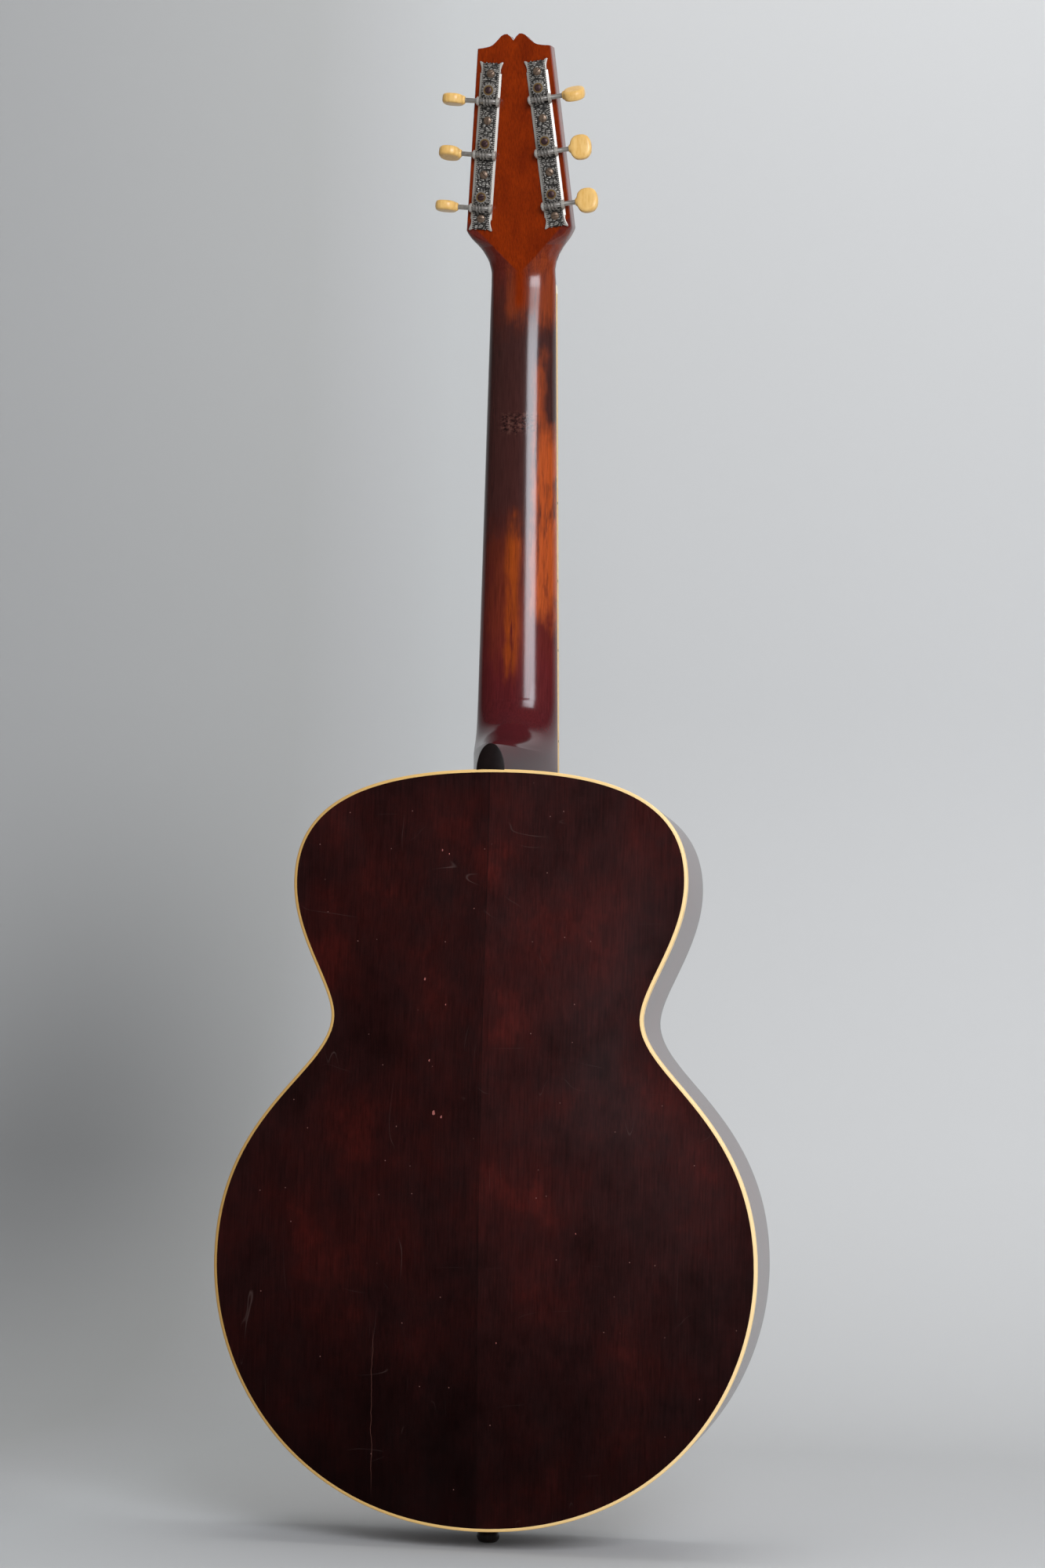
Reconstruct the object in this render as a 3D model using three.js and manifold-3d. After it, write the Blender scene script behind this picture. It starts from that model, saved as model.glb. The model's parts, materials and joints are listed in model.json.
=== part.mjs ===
// Archtop acoustic guitar with a round sound hole, in millimetres.
// The origin is the middle of the end pin's outer face. +X points to the bass side,
// +Y to the soundboard and +Z up the neck to the head.

import * as THREE from 'three';
import { mergeVertices } from 'three/addons/utils/BufferGeometryUtils.js';
import Module from 'manifold-3d';

const wasm = await Module();
wasm.setup();

// General clearances
const GAP = 0.3;
const OVERRUN = 2;
const WELD = 0.00001;

// Body outline and depth
const BODY_LENGTH = 473.6;
const LOWER_BOUT_WIDTH = 345;
const WAIST_WIDTH = 199.8;
const UPPER_BOUT_WIDTH = 253.6;
const LOWER_BOUT_SHARE = 0.34417;
const WAIST_SHARE = 0.66723;
const UPPER_BOUT_SHARE = 0.84882;
const BODY_DEPTH = 84;
const OUTLINE_STEPS = [9, 7, 5, 7];
const OUTLINE_HANDLE_SHARES = [[0.639, 0.5], [0.608, 0.226], [0.227, 0.419], [0.468, 0.858]];

// Rims, plates, bindings and what is inside the body
const RIM_THICKNESS = 2.4;
const PLATE_EDGE_THICKNESS = 4;
const PLATE_CENTRE_THICKNESS = 6;
const TOP_ARCH_HEIGHT = 11;
const BACK_ARCH_HEIGHT = 10;
const ARCH_CENTRE_SHARE = 0.4962;
const ARCH_RING_SHARES = [0.3, 0.55, 0.75, 0.9, 1];
const ARCH_FALL_POWER = 1.3;
const BINDING_THICKNESS = 2;
const BINDING_ROUNDING = 0.7;
const BACK_BINDING_DEPTH = 6;
const TOP_BINDING_DEPTH = 4.6;
const LINING_WIDTH = 5;
const LINING_TIP_WIDTH = 1.6;
const LINING_DEPTH = 11;
const NECK_BLOCK_WIDTH = 70;
const NECK_BLOCK_LENGTH = 42;
const TAIL_BLOCK_WIDTH = 60;
const TAIL_BLOCK_LENGTH = 22;
const BRACE_LENGTH = 196;
const BRACE_WIDTH = 8;
const BRACE_DEPTH = 13;
const BRACE_SHARE = 0.57855;
const BRACE_STEPS = 10;
const SOUNDHOLE_DIAMETER = 88;
const SOUNDHOLE_SHARE = 0.70946;
const SOUNDHOLE_SIDES = 32;

// End pin and tailpiece
const PIN_HEAD_DIAMETER = 14.4;
const PIN_REACH = 12.3;
const PIN_FLAT_DIAMETER = 9;
const PIN_COLLAR_DIAMETER = 11;
const PIN_SHAFT_DIAMETER = 8;
const PIN_SHAFT_TIP_DIAMETER = 6.8;
const PIN_HEAD_SHARES = [[0.9, 0.88], [1, 0.7], [0.93, 0.52]];
const PIN_COLLAR_SHARE = 0.38;
const PIN_SHAFT_LENGTH = 22;
const PIN_SIDES = 20;
const BRACKET_WIDTH = 24;
const BRACKET_THICKNESS = 1.2;
const BRACKET_DROP = 9;
const HINGE_INSET = 6;
const HINGE_RADIUS = 2.4;
const HINGE_PIN_RADIUS = 1.2;
const HINGE_KNUCKLE_LENGTH = 11;
const HINGE_SIDES = 14;
const TAILPIECE_LENGTH = 84;
const TAILPIECE_WIDTH = 66;
const TAILPIECE_THICKNESS = 3.2;
const TAILPIECE_ARM_WIDTH = 6;
const TAILPIECE_NECK_LENGTH = 4.8;
const TAILPIECE_HOLE_START = 11.8;
const TAILPIECE_BAR_WIDTH = 10;
const TAILPIECE_BAR_THICKNESS = 4.6;

// Neck, fingerboard and nut
const SCALE_LENGTH = 628.65;
const COMPENSATION = 2;
const NECK_ANGLE = 1.35;
const NECK_FREE_SHARE = 0.531933;
const NECK_RISE_ON_BODY = 7.38;
const NUT_WIDTH = 44.6;
const NUT_LENGTH = 5;
const NUT_TOP = 7.3;
const FINGERBOARD_TAPER = 0.0336;
const FINGERBOARD_THICKNESS = 5.7;
const FINGERBOARD_OVERHANG = 6;
const FRET_COUNT = 19;
const FRETS_PER_OCTAVE = 12;
const FRET_WIDTH = 2;
const FRET_HEIGHT = 1;
const FRET_CROWN = 0.8;
const BOARD_BINDING = 1.6;
const NECK_DEPTH_AT_NUT = 16.5;
const NECK_DEPTH_AT_HEEL = 19.5;
const NECK_STEPS = 8;
const NECK_SIDES = 12;
const NECK_ROUNDNESS = 2;
const HEEL_ROUNDNESS = 1.2;
const HEEL_LENGTH = 56;
const HEEL_OVERREACH = 31;
const HEEL_CURVE_SHARES = [[1, 0], [0.84, 0.02], [0.68, 0.08], [0.54, 0.22], [0.44, 0.43],
  [0.36, 0.67], [0.3, 0.79], [0.16, 0.93], [-0.12, 1]];
const HEEL_CAP_WIDTH = 18.3;
const HEEL_CAP_LENGTH = 18.6;
const HEEL_CAP_THICKNESS = 1.5;
const HEEL_CAP_STEPS = 12;
const TENON_WIDTH = 12;
const TENON_LENGTH = 17;
const TONGUE_WIDTH = 46;
const TONGUE_STEPS = 6;
const TRUSS_ROD_DIAMETER = 4.8;
const TRUSS_ROD_DEPTH = 8;
const TRUSS_ROD_HEEL_SPACE = 16.5;
const TRUSS_ROD_END = 21;
const TRUSS_POCKET_LENGTH = 20;
const TRUSS_POCKET_WIDTH = 11;
const TRUSS_NUT_WIDTH = 9;
const TRUSS_NUT_LENGTH = 9;
const TRUSS_NUT_SIDES = 6;
const TRUSS_NUT_OFFSET = 2;
const TRUSS_COVER_LENGTH = 38;
const TRUSS_COVER_WIDTH = 25;
const TRUSS_COVER_THICKNESS = 1.6;
const TRUSS_COVER_BEND_SHARES = [0.5, 0.4];
const TRUSS_COVER_STEPS = 6;
const ROD_SIDES = 12;

// Head
const HEAD_TILT = 13.3;
const HEAD_THICKNESS = 13.5;
const HEAD_VENEER_THICKNESS = 1.5;
const HEAD_SHOULDER_HEIGHT = 37.2;
const HEAD_SHOULDER_HALF_WIDTH = 36.2;
const HEAD_TOP_HEIGHT = 155.8;
const HEAD_TOP_HALF_WIDTH = 25;
const HEAD_CREST_HEIGHT = 9;
const HEAD_FLARE_SHARES = [[0, 0.612], [0.264, 0.6], [0.464, 0.646], [0.651, 0.757], [0.838, 0.917],
  [0.948, 0.983], [1, 1]];
const HEAD_CREST_SHARES = [[1, 0], [0.9, 0.08], [0.72, 0.15], [0.56, 0.375], [0.42, 0.69],
  [0.32, 0.91], [0.22, 1], [0.12, 0.94], [0.05, 0.77], [0, 0.58]];

// Tuners: a plate a side, each with three worms, gears and string posts
const PLATE_TOP_OFFSET = 14.84;
const PLATE_TOP_HEIGHT = 146.9;
const PLATE_BOTTOM_OFFSET = 26.05;
const PLATE_BOTTOM_HEIGHT = 36.7;
const PLATE_WIDTH = 14.5;
const PLATE_EAR_WIDTH = 16;
const PLATE_THICKNESS = 1.2;
const PLATE_END_SHARES = [[1, 0], [0.92, 0.42], [0.78, 0.22], [0.5, 0.5], [0.36, 0.1], [0.18, 0.3],
  [0, 0.05]];
const PLATE_EAR_LENGTH = 6;
const TUNER_SPACING = 35;
const TUNER_RISE = 1.35;
const GEAR_TEETH = 14;
const GEAR_PITCH = 2.1;
const GEAR_OUTER_RADIUS = 5.15;
const GEAR_ROOT_RADIUS = 3.8;
const GEAR_THICKNESS = 2.2;
const WORM_CENTRE_DISTANCE = 7.2;
const WORM_OUTER_RADIUS = 3.1;
const WORM_ROOT_RADIUS = 1.75;
const WORM_TURNS = 3;
const WORM_STEPS = 8;
const THREAD_CREST = 0.45;
const THREAD_BASE = 1;
const THREAD_SINK = 0.3;
const WORM_HEIGHT = 3.5;
const LUG_THICKNESS = 1.4;
const LUG_WIDTH = 6;
const LUG_HEIGHT = 6;
const SHAFT_RADIUS = 1.6;
const SHAFT_SIDES = 8;
const SHAFT_CLEARANCE = 0.25;
const POST_RADIUS = 3.1;
const POST_CLEARANCE = 0.3;
const POST_HOLE_IN_HEAD = 3.9;
const POST_REACH = 18;
const POST_SIDES = 12;
const STRING_HOLE_RADIUS = 0.9;
const STRING_HOLE_DROP = 6;
const STRING_HOLE_SIDES = 8;
const BUTTON_CENTRE = 23.5;
const BUTTON_LENGTH = 14.4;
const BUTTON_WIDTH = 16.6;
const BUTTON_THICKNESS = 6.6;
const BUTTON_RING_SHARES = [[-1, 0.42, 0.8], [-0.72, 0.78, 0.92], [-0.1, 1, 1], [0.5, 0.9, 0.9],
  [0.86, 0.62, 0.7], [1, 0.3, 0.4]];
const BUTTON_SIDES = 10;
const BUTTON_TURNS = { 1: 174, 2: 165, 3: 175, 4: 23, 5: 81, 6: 74 };

// Bridge and strings
const BRIDGE_BASE_WIDTH = 142;
const BRIDGE_BASE_LENGTH = 12;
const BRIDGE_FOOT_LENGTH = 34;
const BRIDGE_RELIEF = 2.4;
const BRIDGE_STEPS = 12;
const SADDLE_RISE_ON_BASE = 7.855;
const SADDLE_WIDTH = 112;
const SADDLE_LENGTH = 7;
const SADDLE_BEVEL = 1.6;
const BRIDGE_POST_OFFSET = 37;
const BRIDGE_POST_RADIUS = 1.5;
const BRIDGE_POST_SINK = 3.4;
const BRIDGE_POST_RISE = 4;
const THUMBWHEEL_RADIUS = 8;
const THUMBWHEEL_THICKNESS = 1.8;
const THUMBWHEEL_SIDES = 16;
const STRING_DIAMETERS = { 1: 0.3, 2: 0.41, 3: 0.61, 4: 0.81, 5: 1.07, 6: 1.35 };
const STRING_COUNT = 6;
const STRING_SIDES = 5;
const STRING_SPREAD_AT_NUT = 35.6;
const STRING_SPREAD_AT_SADDLE = 52;
const STRING_ACTION_RISE = 3.5;
const STRING_WRAP_STEPS = 10;
const STRING_WRAP_TURNS = 1.3;
const STRING_WRAP_PITCH = 1.9;

// Pickguard and its bracket
const GUARD_LIFT = 2.4;
const GUARD_THICKNESS = 2.2;
const GUARD_BOARD_OVERLAP = 12.9;
const GUARD_BRIDGE_SPACE = 24.65;
const GUARD_WIDTH = 44;
const GUARD_CORNER_SHARES = [[0, 0], [0.62, 0], [0.9, 0.1], [1, 0.3], [0.96, 0.62], [0.72, 0.9],
  [0.5, 1], [0, 1]];
const GUARD_BRACKET_OUTREACH = 10.26;
const GUARD_BRACKET_SHARE = 0.4029;
const GUARD_BRACKET_WIDTH = 8;
const GUARD_BRACKET_THICKNESS = 1.2;
const GUARD_BRACKET_FOOT = 9;
const GUARD_BRACKET_ARM = 28;

const HALF_TURN = 180;
const radians = (degrees) => degrees * Math.PI / HALF_TURN;

// Places that follow from the sizes above, up the body from its tail
const LOWER_BOUT_HEIGHT = BODY_LENGTH * LOWER_BOUT_SHARE;
const WAIST_HEIGHT = BODY_LENGTH * WAIST_SHARE;
const UPPER_BOUT_HEIGHT = BODY_LENGTH * UPPER_BOUT_SHARE;
const ARCH_CENTRE_HEIGHT = BODY_LENGTH * ARCH_CENTRE_SHARE;
const BRACE_HEIGHT = BODY_LENGTH * BRACE_SHARE;
const SOUNDHOLE_HEIGHT = BODY_LENGTH * SOUNDHOLE_SHARE;
const NECK_FREE_LENGTH = SCALE_LENGTH * NECK_FREE_SHARE;
const NUT_HEIGHT_ON_BODY = BODY_LENGTH + NECK_FREE_LENGTH;
const NECK_PLANE_AT_NUT = BODY_DEPTH / 2 + NECK_RISE_ON_BODY
  - NECK_FREE_LENGTH * Math.tan(radians(NECK_ANGLE));
const HEEL_DEPTH = BODY_DEPTH + HEEL_OVERREACH;

// Finishes
function finish(color, roughness, metalness) {
  return new THREE.MeshStandardMaterial({ color, roughness, metalness });
}

const FINISHES = {
  backLacquer: finish(0x35120e, 0.25, 0),
  rimLacquer: finish(0x46160f, 0.2, 0),
  topLacquer: finish(0x8a4a1c, 0.25, 0),
  neckLacquer: finish(0x7c3411, 0.25, 0),
  bareSpruce: finish(0xc9a877, 0.7, 0),
  bareMahogany: finish(0x8b5a3c, 0.7, 0),
  ivoroid: finish(0xe6c88e, 0.4, 0),
  button: finish(0xe0bd6c, 0.35, 0),
  ebony: finish(0x191412, 0.4, 0),
  veneer: finish(0x0f0d0d, 0.2, 0),
  bone: finish(0xe9e0c8, 0.4, 0),
  nickel: finish(0xb9b6ad, 0.3, 1),
  agedNickel: finish(0x6f6a63, 0.45, 1),
  brass: finish(0xa8894e, 0.4, 1),
  steel: finish(0x8b8b8c, 0.35, 1),
  bronzeString: finish(0xa87a45, 0.35, 1),
  pickguard: finish(0x3b1a12, 0.2, 0),
};

// Solids: closed meshes to and from the boolean library

function toSolid(geometry) {
  const bare = geometry.clone();
  bare.deleteAttribute('normal');
  bare.deleteAttribute('uv');
  const merged = mergeVertices(bare, WELD);
  return new wasm.Manifold(new wasm.Mesh({
    numProp: 3,
    vertProperties: new Float32Array(merged.attributes.position.array),
    triVerts: new Uint32Array(merged.index.array),
  }));
}

function toGeometry(solid) {
  const mesh = solid.getMesh();
  const geometry = new THREE.BufferGeometry();
  geometry.setAttribute('position', new THREE.BufferAttribute(mesh.vertProperties, mesh.numProp));
  geometry.setIndex(new THREE.BufferAttribute(mesh.triVerts, 1));
  return geometry;
}

function signedVolume(positions, index) {
  let sum = 0;
  for (let i = 0; i < index.length; i += 3) {
    const [a, b, c] = [index[i], index[i + 1], index[i + 2]].map((k) => positions[k]);
    sum += a.dot(new THREE.Vector3().crossVectors(b, c));
  }
  return sum;
}

// Skin a list of point rings. closed joins the last ring to the first; start and end are
// points that close the ends, or null to close an end with a fan from the ring's first point.
function skin(rings, { closed = false, start = null, end = null } = {}) {
  const size = rings[0].length;
  const points = rings.flat();
  const index = [];
  const count = closed ? rings.length : rings.length - 1;
  for (let i = 0; i < count; i += 1) {
    const near = i * size;
    const far = ((i + 1) % rings.length) * size;
    for (let k = 0; k < size; k += 1) {
      const next = (k + 1) % size;
      index.push(near + k, near + next, far + next, near + k, far + next, far + k);
    }
  }
  const close = (first, centre, flip) => {
    const hub = centre ? points.push(centre) - 1 : first;
    for (let k = centre ? 0 : 1; k < (centre ? size : size - 1); k += 1) {
      const pair = [first + k, first + (k + 1) % size];
      index.push(hub, ...(flip ? pair.reverse() : pair));
    }
  };
  if (!closed) {
    close(0, start, true);
    close((rings.length - 1) * size, end, false);
  }
  if (signedVolume(points, index) < 0) {
    for (let i = 0; i < index.length; i += 3) {
      [index[i], index[i + 1]] = [index[i + 1], index[i]];
    }
  }
  const geometry = new THREE.BufferGeometry();
  const flat = points.flatMap((p) => [p.x, p.y, p.z]);
  geometry.setAttribute('position', new THREE.Float32BufferAttribute(flat, 3));
  geometry.setIndex(index);
  return geometry;
}

// A box between two corners
function box(low, high) {
  const size = high.map((value, axis) => value - low[axis]);
  const geometry = new THREE.BoxGeometry(...size);
  return geometry.translate(...low.map((value, axis) => value + size[axis] / 2));
}

// An outline of [x, z] points carried from one y to another
function slab(points, fromY, toY, holes = []) {
  const shape = new THREE.Shape(points.map(([x, z]) => new THREE.Vector2(x, z)));
  holes.forEach((hole) => shape.holes.push(new THREE.Path(hole.map(([x, z]) => new THREE.Vector2(x, z)))));
  const geometry = new THREE.ExtrudeGeometry(shape, { depth: toY - fromY, bevelEnabled: false });
  return geometry.rotateX(Math.PI / 2).translate(0, toY, 0);
}

// An outline of [x, y] points carried from one z to another
function bar(points, fromZ, toZ) {
  const shape = new THREE.Shape(points.map(([x, y]) => new THREE.Vector2(x, y)));
  const geometry = new THREE.ExtrudeGeometry(shape, { depth: toZ - fromZ, bevelEnabled: false });
  return geometry.translate(0, 0, fromZ);
}

// A cylinder along an axis ('x', 'y' or 'z') between two places on it
function rod(axis, radius, from, to, at, sides) {
  const geometry = new THREE.CylinderGeometry(radius, radius, to - from, sides);
  if (axis === 'x') geometry.rotateZ(-Math.PI / 2);
  if (axis === 'z') geometry.rotateX(Math.PI / 2);
  const middle = (from + to) / 2;
  const places = { x: [middle, ...at], y: [at[0], middle, at[1]], z: [...at, middle] };
  return geometry.translate(...places[axis]);
}

function ringPath(radius, x, z, sides) {
  return Array.from({ length: sides }, (_, i) => {
    const angle = 2 * Math.PI * i / sides;
    return [x + radius * Math.cos(angle), z + radius * Math.sin(angle)];
  });
}

function cut(geometry, ...tools) {
  return toGeometry(tools.reduce((solid, tool) => solid.subtract(toSolid(tool)), toSolid(geometry)));
}

function join(geometry, ...others) {
  return toGeometry(others.reduce((solid, other) => solid.add(toSolid(other)), toSolid(geometry)));
}

function common(geometry, other) {
  return toGeometry(toSolid(geometry).intersect(toSolid(other)));
}

function named(name, geometry, material) {
  const mesh = new THREE.Mesh(geometry, material);
  mesh.name = name;
  return mesh;
}

// Body outline

function halfOutline() {
  const stations = [[0, 0], [LOWER_BOUT_WIDTH / 2, LOWER_BOUT_HEIGHT], [WAIST_WIDTH / 2, WAIST_HEIGHT],
    [UPPER_BOUT_WIDTH / 2, UPPER_BOUT_HEIGHT], [0, BODY_LENGTH]];
  const points = [new THREE.Vector2(0, 0)];
  OUTLINE_STEPS.forEach((steps, i) => {
    const [x0, z0] = stations[i];
    const [x1, z1] = stations[i + 1];
    const [lead, trail] = OUTLINE_HANDLE_SHARES[i];
    const first = i === 0 ? [lead * x1, z0] : [x0, z0 + lead * (z1 - z0)];
    const last = i === 3 ? [trail * x0, z1] : [x1, z1 - trail * (z1 - z0)];
    const curve = new THREE.CubicBezierCurve(new THREE.Vector2(x0, z0), new THREE.Vector2(...first),
      new THREE.Vector2(...last), new THREE.Vector2(x1, z1));
    points.push(...curve.getPoints(steps).slice(1));
  });
  return points;
}

const HALF_OUTLINE = halfOutline();
const OUTLINE = [...HALF_OUTLINE, ...HALF_OUTLINE.slice(1, -1).reverse()
  .map((p) => new THREE.Vector2(-p.x, p.y))];

// The outline drawn in by a distance, as [x, z] points
function insetOutline(inset) {
  return OUTLINE.map((point, i) => {
    const next = OUTLINE[(i + 1) % OUTLINE.length];
    const last = OUTLINE[(i + OUTLINE.length - 1) % OUTLINE.length];
    const along = next.clone().sub(last).normalize();
    return [point.x - along.y * inset, point.y + along.x * inset];
  });
}

// A closed band round the body: a section of [inset, y] corners carried round the outline
function band(section) {
  const rings = section.map(([inset, y]) => insetOutline(inset).map(([x, z]) => new THREE.Vector3(x, y, z)));
  return skin(rings, { closed: true });
}

function bodyPrism(inset, fromY, toY) {
  return slab(insetOutline(inset), fromY, toY);
}

function sideHalf(geometry, side, clearance) {
  const far = LOWER_BOUT_WIDTH;
  const low = side > 0 ? clearance : -far;
  const high = side > 0 ? far : -clearance;
  return common(geometry, box([low, -far, -far], [high, far, BODY_LENGTH + far]));
}

// Arched plates

function archShare(share) {
  return (1 + Math.cos(Math.PI * share ** ARCH_FALL_POWER)) / 2;
}

const PLATE_OUTLINE = insetOutline(BINDING_THICKNESS + GAP);

// How far a place lies from the arch's centre (0) to the plate's edge (1)
function shareAt(x, z) {
  const way = new THREE.Vector2(x, z - ARCH_CENTRE_HEIGHT);
  const size = PLATE_OUTLINE.length;
  for (let i = 0; i < size; i += 1) {
    const [ax, az] = PLATE_OUTLINE[i];
    const [bx, bz] = PLATE_OUTLINE[(i + 1) % size];
    const a = new THREE.Vector2(ax, az - ARCH_CENTRE_HEIGHT);
    const edge = new THREE.Vector2(bx - ax, bz - az);
    const turn = way.cross(edge);
    const along = a.cross(way) / turn;
    const reach = a.cross(edge) / turn;
    if (reach > 0 && along >= 0 && along <= 1) return 1 / reach;
  }
  return 0;
}

// Height of the soundboard's outer face, on the same facets as the plate
function topSurface(x, z) {
  const share = shareAt(x, z);
  const shares = [0, ...ARCH_RING_SHARES];
  const upper = shares.findIndex((value) => value >= share);
  if (upper < 1) return BODY_DEPTH / 2 + (upper === 0 ? TOP_ARCH_HEIGHT : 0);
  const part = (share - shares[upper - 1]) / (shares[upper] - shares[upper - 1]);
  const rise = (value) => TOP_ARCH_HEIGHT * archShare(value);
  return BODY_DEPTH / 2 + rise(shares[upper - 1]) * (1 - part) + rise(shares[upper]) * part;
}

function plateThickness(share) {
  return PLATE_EDGE_THICKNESS + (PLATE_CENTRE_THICKNESS - PLATE_EDGE_THICKNESS) * (1 - share);
}

function archedPlate(side, arch) {
  const level = (share, inner) => side * (BODY_DEPTH / 2 + arch * archShare(share)
    - (inner ? plateThickness(share) : 0));
  const ring = (share, inner) => PLATE_OUTLINE.map(([x, z]) => new THREE.Vector3(x * share,
    level(share, inner), ARCH_CENTRE_HEIGHT + (z - ARCH_CENTRE_HEIGHT) * share));
  const outer = ARCH_RING_SHARES.map((share) => ring(share, false));
  const inner = [...ARCH_RING_SHARES].reverse().map((share) => ring(share, true));
  return skin([...outer, ...inner], {
    start: new THREE.Vector3(0, level(0, false), ARCH_CENTRE_HEIGHT),
    end: new THREE.Vector3(0, level(0, true), ARCH_CENTRE_HEIGHT),
  });
}

function topPlate() {
  const hole = rod('y', SOUNDHOLE_DIAMETER / 2, 0, BODY_DEPTH, [0, SOUNDHOLE_HEIGHT], SOUNDHOLE_SIDES);
  return cut(archedPlate(1, TOP_ARCH_HEIGHT), hole);
}

// Rims, linings, blocks, bindings and brace

const RIM_BACK = -BODY_DEPTH / 2 + BACK_BINDING_DEPTH + GAP;
const RIM_FRONT = BODY_DEPTH / 2 - TOP_BINDING_DEPTH - GAP;
const INSIDE_FRONT = BODY_DEPTH / 2 - PLATE_EDGE_THICKNESS - GAP;
const TENON_SLOT = TENON_WIDTH / 2 + GAP;
const PIN_HOLE_RADIUS = PIN_SHAFT_DIAMETER / 2 + GAP;

function pinHole() {
  return rod('z', PIN_HOLE_RADIUS, -OVERRUN, TAIL_BLOCK_LENGTH + RIM_THICKNESS + OVERRUN, [0, 0], PIN_SIDES);
}

function tenonSlot() {
  const bottom = BODY_LENGTH - RIM_THICKNESS - TENON_LENGTH - GAP - GAP;
  return box([-TENON_SLOT, -BODY_DEPTH, bottom], [TENON_SLOT, BODY_DEPTH, BODY_LENGTH + OVERRUN]);
}

function rim(side) {
  const ring = band([[0, RIM_BACK], [RIM_THICKNESS, RIM_BACK], [RIM_THICKNESS, RIM_FRONT], [0, RIM_FRONT]]);
  return cut(sideHalf(ring, side, GAP / 2), pinHole(), tenonSlot());
}

function lining(side, front) {
  const outer = RIM_THICKNESS + GAP;
  const plate = front * INSIDE_FRONT;
  const tip = front * (INSIDE_FRONT - LINING_DEPTH);
  const section = [[outer, plate], [outer + LINING_WIDTH, plate], [outer + LINING_TIP_WIDTH, tip], [outer, tip]];
  const neckEnd = box([-NECK_BLOCK_WIDTH / 2 - GAP, -BODY_DEPTH, UPPER_BOUT_HEIGHT],
    [NECK_BLOCK_WIDTH / 2 + GAP, BODY_DEPTH, BODY_LENGTH]);
  const tailEnd = box([-TAIL_BLOCK_WIDTH / 2 - GAP, -BODY_DEPTH, -OVERRUN],
    [TAIL_BLOCK_WIDTH / 2 + GAP, BODY_DEPTH, LOWER_BOUT_HEIGHT / 2]);
  return cut(sideHalf(band(section), side, GAP), neckEnd, tailEnd);
}

function neckBlock() {
  const inside = bodyPrism(RIM_THICKNESS + GAP, -INSIDE_FRONT, INSIDE_FRONT);
  const half = NECK_BLOCK_WIDTH / 2;
  const blank = box([-half, -BODY_DEPTH, BODY_LENGTH - RIM_THICKNESS - NECK_BLOCK_LENGTH],
    [half, BODY_DEPTH, BODY_LENGTH]);
  return cut(common(inside, blank), tenonSlot());
}

function tailBlock() {
  const inside = bodyPrism(RIM_THICKNESS + GAP, -INSIDE_FRONT, INSIDE_FRONT);
  const half = TAIL_BLOCK_WIDTH / 2;
  const blank = box([-half, -BODY_DEPTH, 0], [half, BODY_DEPTH, RIM_THICKNESS + TAIL_BLOCK_LENGTH]);
  return cut(common(inside, blank), pinHole());
}

function binding(front, depth) {
  const face = front * BODY_DEPTH / 2;
  return band([[0, face - front * depth], [0, face - front * BINDING_ROUNDING], [BINDING_ROUNDING, face],
    [BINDING_THICKNESS, face], [BINDING_THICKNESS, face - front * depth]]);
}

function transverseBrace() {
  const half = BRACE_LENGTH / 2;
  const under = (x) => Math.min(...[-1, 1].map((end) => {
    const z = BRACE_HEIGHT + end * BRACE_WIDTH / 2;
    return topSurface(x, z) - plateThickness(shareAt(x, z));
  })) - GAP;
  const places = Array.from({ length: BRACE_STEPS + 1 }, (_, i) => half - 2 * half * i / BRACE_STEPS);
  const upper = places.map((x) => [x, under(x)]);
  const lower = [[-half, under(half) - BRACE_DEPTH / 2], [0, under(half) - BRACE_DEPTH],
    [half, under(half) - BRACE_DEPTH / 2]];
  return bar([...upper, ...lower], BRACE_HEIGHT - BRACE_WIDTH / 2, BRACE_HEIGHT + BRACE_WIDTH / 2);
}

// Frames of the neck and the head, seen from the body's frame

function turned(degrees, position) {
  const matrix = new THREE.Matrix4().makeRotationX(radians(degrees));
  return matrix.setPosition(...position);
}

const NECK_FRAME = turned(NECK_ANGLE, [0, NECK_PLANE_AT_NUT, NUT_HEIGHT_ON_BODY]);
const HEAD_START = NUT_LENGTH + 2 * GAP;
const HEAD_IN_NECK = turned(HEAD_TILT, [0, 0, HEAD_START]);
const HEAD_FRAME = NECK_FRAME.clone().multiply(HEAD_IN_NECK);
const NECK_LENGTH = NECK_FREE_LENGTH / Math.cos(radians(NECK_ANGLE));
const TRUSS_ROD_LENGTH = NECK_LENGTH - TRUSS_ROD_HEEL_SPACE;

function boardHalfWidth(distance) {
  return (NUT_WIDTH + FINGERBOARD_TAPER * distance) / 2;
}

function fretPlace(number) {
  return SCALE_LENGTH * (1 - 2 ** (-number / FRETS_PER_OCTAVE));
}

// For each section down the neck: its distance from the nut, its depth and its roundness
function neckRings() {
  const heelTop = NECK_LENGTH - HEEL_LENGTH;
  const plain = Array.from({ length: NECK_STEPS }, (_, i) => {
    const share = i / NECK_STEPS;
    return [share * heelTop, NECK_DEPTH_AT_NUT + share * (NECK_DEPTH_AT_HEEL - NECK_DEPTH_AT_NUT),
      NECK_ROUNDNESS];
  });
  const heel = HEEL_CURVE_SHARES.map(([up, down]) => [NECK_LENGTH - up * HEEL_LENGTH,
    NECK_DEPTH_AT_HEEL + down * (HEEL_DEPTH - NECK_DEPTH_AT_HEEL),
    NECK_ROUNDNESS + down * (HEEL_ROUNDNESS - NECK_ROUNDNESS)]);
  const before = [-HEAD_START - HEAD_THICKNESS / 2, NECK_DEPTH_AT_NUT - GAP, NECK_ROUNDNESS];
  return [before, ...plain, ...heel];
}

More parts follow.
